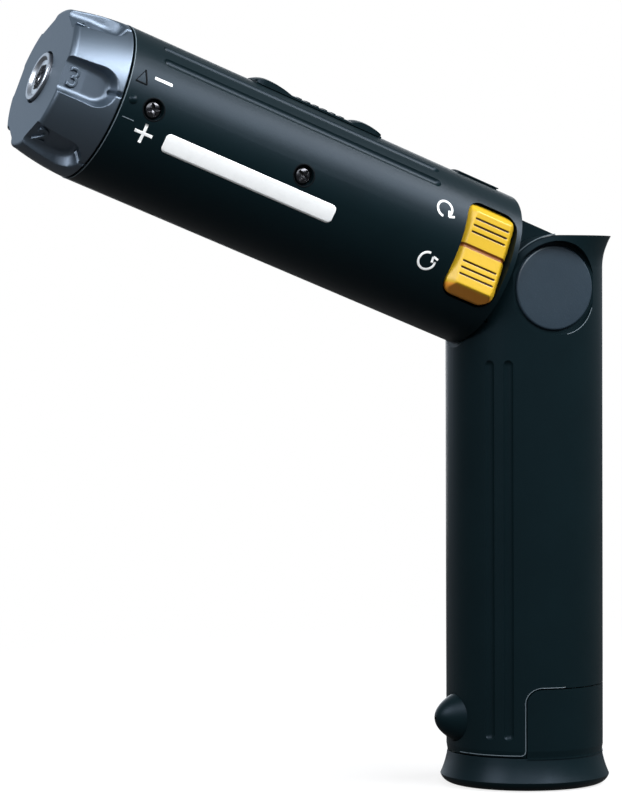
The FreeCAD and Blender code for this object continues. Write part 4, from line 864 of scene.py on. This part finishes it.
class DRIVER_OT_skirts(bpy.types.Operator):
    """Closes the slit under the two slides with a thin skirt that follows the barrel"""

    bl_idname = "driver.skirts"
    bl_label = "Slide skirts"

    def execute(self, context):
        for node in ("lock_slide", "speed_selector"):
            low, high = reach(node)
            half = -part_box(node)[0].y / MM
            path = level_line(low + SKIRT_INSET, high - SKIRT_INSET, 0)
            skirt = strip(path, 2 * half - SKIRT_TRIM, SKIRT_RISE, BARREL_RADIUS + SKIRT_LIFT)
            put(f"{node}_skirt", *skirt, BODIES[node], SLOTS[node])
        return {"FINISHED"}


class DRIVER_OT_prints(bpy.types.Operator):
    """Prints the blank label, the minus and plus signs and the two turning arrows in white"""

    bl_idname = "driver.prints"
    bl_label = "White prints"

    def execute(self, context):
        lift = sizes().print_rise / MM
        signs = [strip(level_line(*MINUS), MINUS_WIDTH, lift)]
        place, angle, half = PLUS
        middle = np.array([place, arc_length(angle)])
        for arm in np.array([(half, 0), (0, half)]):
            signs.append(strip(line(middle - arm, middle + arm), PLUS_WIDTH, lift))
        for arrow in ARROWS:
            signs += turn_arrow(*arrow)
        put("printed_signs", *together(signs), "barrel", "body_plastic", "print_white")
        put("blank_label", *self.label(lift), "barrel", "body_plastic", "print_white")
        return {"FINISHED"}

    def label(self, lift):
        """A strip with rounded corners: its half width shrinks at both ends as a quarter circle does."""
        corner, bend = LABEL_CORNER, np.radians(np.linspace(0, 90, 9))
        inset = np.concatenate([corner * (1 - np.cos(bend)), [corner + LABEL_STEP]])
        rows = np.linspace(LABEL_LOW + LABEL_MIDDLE, LABEL_HIGH - LABEL_MIDDLE, 12)
        along = np.concatenate([LABEL_LOW + inset, rows, (LABEL_HIGH - inset)[::-1]])
        edge = np.minimum(along - LABEL_LOW, LABEL_HIGH - along)
        width = LABEL_HALF - corner + np.sqrt(np.clip(corner ** 2 - np.clip(corner - edge, 0, None) ** 2, 0, None))
        section = np.array([-1, *np.linspace(-1, 1, 9), 1])
        height = np.full(len(section), BARREL_RADIUS + lift)
        height[[0, -1]] = BARREL_RADIUS + ROOT
        arc = arc_length(LABEL_ANGLE) + width[:, None] * section[None, :]
        return sheet(on_barrel(along[:, None], np.degrees(arc / BARREL_RADIUS), height), wrap_columns=False)


EDGE_HALF = 0.11
# The triangle is drawn as near-black lines, wider on two sides: painted shade of its outline.
TRIANGLE, TRIANGLE_WIDTHS = ((128.5, 75.7), (125.4, 75.8), (126.5, 65.3)), (0.2, 0.45, 0.45)
# The tick and the thin ring at the barrel's front carry a painted highlight.
TICK, TICK_WIDTH, MARK_RISE = (125.5, 128.7, 102.6), 0.25, 0.1
RIM_INSET, RIM_WIDTH, RIM_RISE = 0.16, 0.24, 0.04
# Radii and rises of the dark rings of painted shade round the screws.
SINK_RINGS, SINK_RISES = (2.72, 2.8, 3.05, 3.1), (-0.04, 0.03, 0.03, -0.04)
DOME_PLACE, DOME_ANGLE, DOME_RADIUS, DOME_HEIGHT, DOME_SINK = 127.6, 89.2, 1.25, 0.65, 0.05
# The battery window: where its top edge begins, the corner's radius and middle, the foot's, and the grip's bottom edge.
WINDOW_START, WINDOW_ROUND, WINDOW_MIDDLE, WINDOW_GAP = 1.5, 4.15, (-5, 23), 0.4
FOOT_ROUND, FOOT_MIDDLE, FOOT_LEVEL, FOOT_TURN = 1.2, (-10.35, 10.5), 9.3, (31, 82)
# Painted highlight arcs about the pivot: radius and the angles they run between, on the ear and on the cap's sink.
EAR_ARCS = ((14.1, 95, 148), (12.45, -80, -25))
SCREW_HEAD, SCREW_SEAT, FIRST_TURN, TURN_STEP = 2.5, 1.1, 25, 37


def circle(radius, middle, start, stop, count):
    """Places on an arc of a flat circle."""
    turn = np.radians(np.linspace(start, stop, count))
    return np.asarray(middle) + radius * np.column_stack([np.cos(turn), np.sin(turn)])


def grip_edge(path):
    """A narrow raised line for a painted highlight, laid on the near side of the round grip, along a path of x and z in
    millimetres.
    """
    section = np.array([(-1, -0.03), (-0.8, 0.03), (0, 0.05), (0.8, 0.03), (1, -0.03)])
    spots = path[:, None] + EDGE_HALF * sideways(path)[:, None] * section[None, :, :1]
    grip = GRIP_RADIUS + section[None, :, 1]
    depth = -np.sqrt(np.clip(grip ** 2 - spots[..., 0] ** 2, 0, None))
    return sheet(MM * np.stack([spots[..., 0], depth, spots[..., 1]], -1), wrap_columns=False)


class DRIVER_OT_marks(bpy.types.Operator):
    """Sets the triangle, the dome and the tick behind the collar: the dome moulded, the triangle's lines in painted
    shade and the tick in painted highlight; paints highlights on the shells' thin edges and shade rings round the
    screws
    """

    bl_idname = "driver.marks"
    bl_label = "Moulded marks"

    def execute(self, context):
        # The triangle as near-black lines of painted shade.
        tips = [(along, arc_length(angle)) for along, angle in TRIANGLE]
        sides = zip(tips[-1:] + tips, tips, TRIANGLE_WIDTHS)
        marks = [strip(line(start, stop), width, MARK_RISE) for start, stop, width in sides]
        put("triangle_mark", *together(marks), "barrel", "body_plastic", "mark_dark")
        # The tick and the ring at the barrel's front: pale lines of painted highlight.
        tick = strip(level_line(*TICK), TICK_WIDTH, MARK_RISE)
        turns = np.linspace(0, 360, 181)
        ring = np.column_stack([np.full(181, BARREL_FRONT - RIM_INSET), np.radians(turns) * BARREL_RADIUS])
        edges = [tick, strip(ring, RIM_WIDTH, RIM_RISE)]
        put("moulded_edges", *together(edges), "barrel", "body_plastic", "edge_light")
        put("index_bump", *self.bump(), "barrel", "body_plastic")
        arcs = [circle(radius, PIVOT[[0, 2]] / MM, start, stop, 24) for radius, start, stop in EAR_ARCS]
        # Pale lines of painted highlight along the battery window's seam and round the ear and the cap's sink.
        edges = [grip_edge(path) for path in (self.window(), *arcs)]
        put("grip_edges", *together(edges), "handle", "body_plastic", "edge_light")
        # Dark rings of painted shade round the screws, where their sinks fall into shade.
        low, high = reach("barrel_screws")
        sinks = [self.sink(along, angle) for along in (low + SCREW_HEAD, high - SCREW_HEAD) for angle in (90, 270)]
        put("screw_sinks", *together(sinks), "barrel", "body_plastic", "mark_dark")
        return {"FINISHED"}

    def sink(self, along, angle):
        """A thin flat dark ring on the barrel round a screw: painted shade of its sink."""
        turn = np.radians(around(60))
        ring = np.array(SINK_RINGS)[:, None]
        height = BARREL_RADIUS + np.array(SINK_RISES)[:, None]
        angle = angle + np.degrees(ring * np.sin(turn) / BARREL_RADIUS)
        return sheet(on_barrel(along + ring * np.cos(turn), angle, height))

    def window(self):
        """A path of x and z beside the battery's wall: over its round corner, down, and round the grip's lower edge."""
        corner = circle(WINDOW_ROUND, WINDOW_MIDDLE, 90, 180, 16)
        foot = circle(FOOT_ROUND, FOOT_MIDDLE, 0, -90, 10)
        top, side = corner[0], corner[-1]
        round_grip = -GRIP_RADIUS * np.sin(np.radians(np.linspace(*FOOT_TURN, 18)))
        return np.concatenate([
            line((WINDOW_START, top[1]), top + WINDOW_GAP * np.array([1, 0])), corner,
            line(side - WINDOW_GAP * np.array([0, 1]), foot[0] + WINDOW_GAP * np.array([0, 1])), foot,
            np.column_stack([round_grip, np.full(18, FOOT_LEVEL)])])

    def bump(self):
        """A low dome on the barrel: its height falls off as one less the squared share of its radius."""
        share = np.linspace(POLE, 1, 12)[:, None]
        turn = np.radians(around(36))
        along = DOME_PLACE + DOME_RADIUS * share * np.cos(turn)
        arc = arc_length(DOME_ANGLE) + DOME_RADIUS * share * np.sin(turn)
        height = BARREL_RADIUS - DOME_SINK + DOME_HEIGHT * (1 - share ** 2)
        return sheet(on_barrel(along, np.degrees(arc / BARREL_RADIUS), height))


ARM_HALF, ARM_TAPER, ARM_LENGTH, ARM_BLEND, TIP_BLEND = 0.44, 0.08, 1.6, 0.14, 0.2
RECESS_DEPTH, RECESS_RISE, RECESS_LEAST = 0.95, 0.3, 0.2
PAN_SIDE, PAN_RADIUS, PAN_POWER, PAN_RIM = 0.35, 2.28, 2.4, 2.27
SHANK_RADIUS, SHANK_LENGTH = 1.2, 3.6


def screw_surface():
    """A pan head with a cross recess on a plain shank, about z, with its flat underside at z = 0.

    The top is a low dome; the recess is deep where the smaller of |x| and |y| is below the arm's half width and the
    larger is below the arm's length, with a smooth edge. All in millimetres.
    """
    turn = np.radians(around(96))
    ring = np.concatenate([np.linspace(POLE, 1.75, 36), np.linspace(1.8, 2.1, 5), [2.2, 2.25, PAN_RIM]])[:, None]
    x, y = ring * np.cos(turn), ring * np.sin(turn)
    small, large = np.minimum(np.abs(x), np.abs(y)), np.maximum(np.abs(x), np.abs(y))
    arm = ARM_HALF - ARM_TAPER * large
    open_share = np.clip((arm - small) / ARM_BLEND + 0.5, 0, 1) * np.clip((ARM_LENGTH - large) / TIP_BLEND + 0.5, 0, 1)
    open_share = open_share * open_share * (3 - 2 * open_share)
    dome = PAN_SIDE + np.sqrt(np.clip(1 - (ring / PAN_RADIUS) ** PAN_POWER, 0, None))
    height = dome - open_share * np.clip(RECESS_DEPTH - RECESS_RISE * large, RECESS_LEAST, None)
    side_ring = np.array([PAN_RIM, SHANK_RADIUS, SHANK_RADIUS, POLE])[:, None] + 0 * turn
    side_height = np.array([0, 0, -SHANK_LENGTH, -SHANK_LENGTH])[:, None] + 0 * turn
    radius = np.concatenate([ring + 0 * turn, side_ring])
    level = np.concatenate([height, side_height])
    points, cells = sheet(np.stack([radius * np.cos(turn), radius * np.sin(turn), level], -1))
    return points, cells[:, ::-1]


class DRIVER_OT_screws(bpy.types.Operator):
    """Sets a cross-recessed screw in each of the barrel's four sinks"""

    bl_idname = "driver.screws"
    bl_label = "Barrel screws"

    def execute(self, context):
        low, high = reach("barrel_screws")
        head = -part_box("barrel_screws")[0].y / MM
        spots, cells = screw_surface()
        places = [(along, side) for side in (1, -1) for along in (low + SCREW_HEAD, high - SCREW_HEAD)]
        parts = []
        for number, (along, side) in enumerate(places):
            turn = math.radians(FIRST_TURN + TURN_STEP * number)
            across = math.cos(turn) * FORWARD + math.sin(turn) * TOP
            out = side * NEAR
            basis = np.array([across, np.cross(out, across), out])
            seat = PIVOT + MM * (along * FORWARD + (head - SCREW_SEAT) * out)
            parts.append((seat + MM * spots @ basis, cells))
        screws = put("cross_screws", *together(parts), "barrel", "screw_steel", sharp=45)
        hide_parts("barrel_screws")
        return {"FINISHED"}


# What gloss shows of the white: shares of the floor and the room, and the wall's direction and soft edge.
MIRRORED_FLOOR, MIRRORED_ROOM, MIRRORED_WALL, WALL_EDGE = 0.04, 0.22, (-0.189, 0.946, 0.263), (0.82, 0.97)
FLOOR_RINGS, FLOOR_LEVEL, SHADOW_SHARE, SHADOW_EDGE = (0.001, 0.2, 1.0, 4.0), -0.0002, 0.8, (0.12, 0.5)
ROOM_TONE, ROOM_STRENGTH, MIRRORED_TONE = (0.85, 0.92, 1.0, 1), 0.15, (0.75, 0.87, 1.0, 1)
WHITE, LAMP_TONE = (1, 1, 1, 1), (0.95, 0.97, 1.0)
LAMP_AIM = (-0.06, 0, 0.13)
LAMPS = {  # place and size of each soft box
    "key": ((0.46, -0.52, 0.78), (1.3, 0.35)),
    "side": ((-0.86, -0.3, 0.65), (0.5, 0.5)),
    "fill": ((-0.43, -0.87, 0.93), (0.8, 0.8)),
    "back": ((0.35, 0.95, 0.22), (0.6, 0.6)),
}
CAMERA_PLACE, CAMERA_AIM = (-0.4108, -0.8163, 0.1277), (-0.06208, 0, 0.10329)
CAMERA_LENS, CAMERA_FILM, CAMERA_ROLL = 153.09, 36, -0.21


def background_rays(look):
    """1 for rays from the camera, and 1 for rays that a mirror or glass sends on, else 0."""
    paths = look.node("ShaderNodeLightPath", {}, {}).outputs
    seen, glossy, through = (Signal(look, paths[f"Is {kind} Ray"]) for kind in ("Camera", "Glossy", "Transmission"))
    return seen, look.math("MAXIMUM", glossy, through)


class DRIVER_OT_stage(bpy.types.Operator):
    """Sets the white floor, the soft lights and the camera"""

    bl_idname = "driver.stage"
    bl_label = "Stage"

    def execute(self, context):
        self.floor()
        self.world(context.scene)
        for name, (place, size) in LAMPS.items():
            self.light(name, place, size, getattr(sizes(), f"{name}_power"))
        self.camera(context.scene)
        context.scene.view_settings.view_transform = "Standard"
        return {"FINISHED"}

    def floor(self):
        """A round floor under the foot that the camera sees as white paper."""
        turn = np.radians(around(96))
        ring = np.array(FLOOR_RINGS)[:, None]
        grid = np.stack([ring * np.cos(turn), ring * np.sin(turn), 0 * ring * turn + FLOOR_LEVEL], -1)
        points, cells = sheet(grid)
        mesh = bpy.data.meshes.new("floor")
        mesh.from_pydata(points.tolist(), [], cells[:, ::-1].tolist())
        made, look = material("floor_paper")
        seen, mirrored = background_rays(look)
        fibre = look.noise(look.place(), 900, 3)
        tone = look.mix(seen, look.mix(fibre, shade(WHITE[:3], 0.06), shade(WHITE[:3], 0.07)), shade(WHITE[:3], 0.9))
        paper = look.signal("ShaderNodeBsdfDiffuse", {}, {"Color": tone})
        white = look.signal("ShaderNodeEmission", {}, {"Color": WHITE, "Strength": 1.0})
        away = look.signal("ShaderNodeVectorMath", {"operation": "LENGTH"}, {0: look.place()}, 1)
        share = seen * look.spread(look.step(away, *SHADOW_EDGE), SHADOW_SHARE, 1.0) + mirrored * MIRRORED_FLOOR
        both = look.signal("ShaderNodeMixShader", {}, {0: share, 1: paper, 2: white})
        look.node("ShaderNodeOutputMaterial", {}, {"Surface": both})
        mesh.materials.append(made)
        floor = linked("floor", mesh)

    def world(self, scene):
        """White behind the object for the camera, a dim room for its light, and a white wall that gloss shows."""
        scene.world = bpy.data.worlds.new("studio")
        scene.world.use_nodes = True
        look = Look(scene.world.node_tree)
        seen, mirrored = background_rays(look)
        where = look.signal("ShaderNodeTexCoord", {}, {}, "Generated")
        wall = look.step(look.along(where, (0, 0, 0), MIRRORED_WALL), *WALL_EDGE)
        share = seen + mirrored * look.spread(wall, MIRRORED_ROOM, 1.0)
        room = look.signal("ShaderNodeBackground", {}, {"Color": ROOM_TONE, "Strength": ROOM_STRENGTH})
        paper = look.mix(seen, MIRRORED_TONE, WHITE)
        white = look.signal("ShaderNodeBackground", {}, {"Color": paper, "Strength": 1.0})
        both = look.signal("ShaderNodeMixShader", {}, {0: share, 1: room, 2: white})
        look.node("ShaderNodeOutputWorld", {}, {"Surface": both})

    def light(self, name, place, size, power):
        """A soft box, level along its first side, that faces the middle of the tool."""
        lamp = bpy.data.lights.new(name, "AREA")
        lamp.shape = "RECTANGLE"
        lamp.size, lamp.size_y = size
        lamp.energy = power
        lamp.color = LAMP_TONE
        self.aimed(name, lamp, place, LAMP_AIM)

    def aimed(self, name, data, place, target, roll=0):
        """A lamp or camera at a place that looks at a target, rolled about its own axis."""
        item = linked(name, data)
        item.location = place
        aim = Vector(target) - Vector(place)
        item.rotation_mode = "QUATERNION"
        item.rotation_quaternion = aim.to_track_quat("-Z", "Y") @ Quaternion((0, 0, 1), math.radians(roll))
        return item

    def camera(self, scene):
        """The photograph's viewpoint: a long lens, slightly above the foot, turned to the near side."""
        lens = bpy.data.cameras.new("camera")
        lens.sensor_fit = "VERTICAL"
        lens.sensor_height = CAMERA_FILM
        lens.lens = CAMERA_LENS
        scene.camera = self.aimed("camera", lens, CAMERA_PLACE, CAMERA_AIM, CAMERA_ROLL)


STEPS = (
    DRIVER_OT_inside, DRIVER_OT_rocker, DRIVER_OT_latch, DRIVER_OT_caps, DRIVER_OT_springs, DRIVER_OT_spindle,
    DRIVER_OT_collar, DRIVER_OT_screws, DRIVER_OT_marks, DRIVER_OT_skirts, DRIVER_OT_prints, DRIVER_OT_stage)


class DRIVER_PT_panel(bpy.types.Panel):
    """Lists the dressing's steps with its sizes and colours"""

    bl_idname = "DRIVER_PT_panel"
    bl_label = "Driver"
    bl_space_type = "VIEW_3D"
    bl_region_type = "UI"
    bl_category = "Driver"

    def draw(self, context):
        for group in (sizes(), colours()):
            for name in group.__annotations__:
                self.layout.prop(group, name)
        for step in STEPS:
            self.layout.operator(step.bl_idname)


CLASSES = (DriverSizes, DriverColours, *STEPS, DRIVER_PT_panel)


def register():
    for item in CLASSES:
        bpy.utils.register_class(item)
    bpy.types.Scene.driver_sizes = bpy.props.PointerProperty(type=DriverSizes)
    bpy.types.Scene.driver_colours = bpy.props.PointerProperty(type=DriverColours)


def unregister():
    del bpy.types.Scene.driver_colours
    del bpy.types.Scene.driver_sizes
    for item in reversed(CLASSES):
        bpy.utils.unregister_class(item)


def main():
    register()
    for step in STEPS:
        group, name = step.bl_idname.split(".")
        getattr(getattr(bpy.ops, group), name)()


if __name__ == "__main__":
    main()
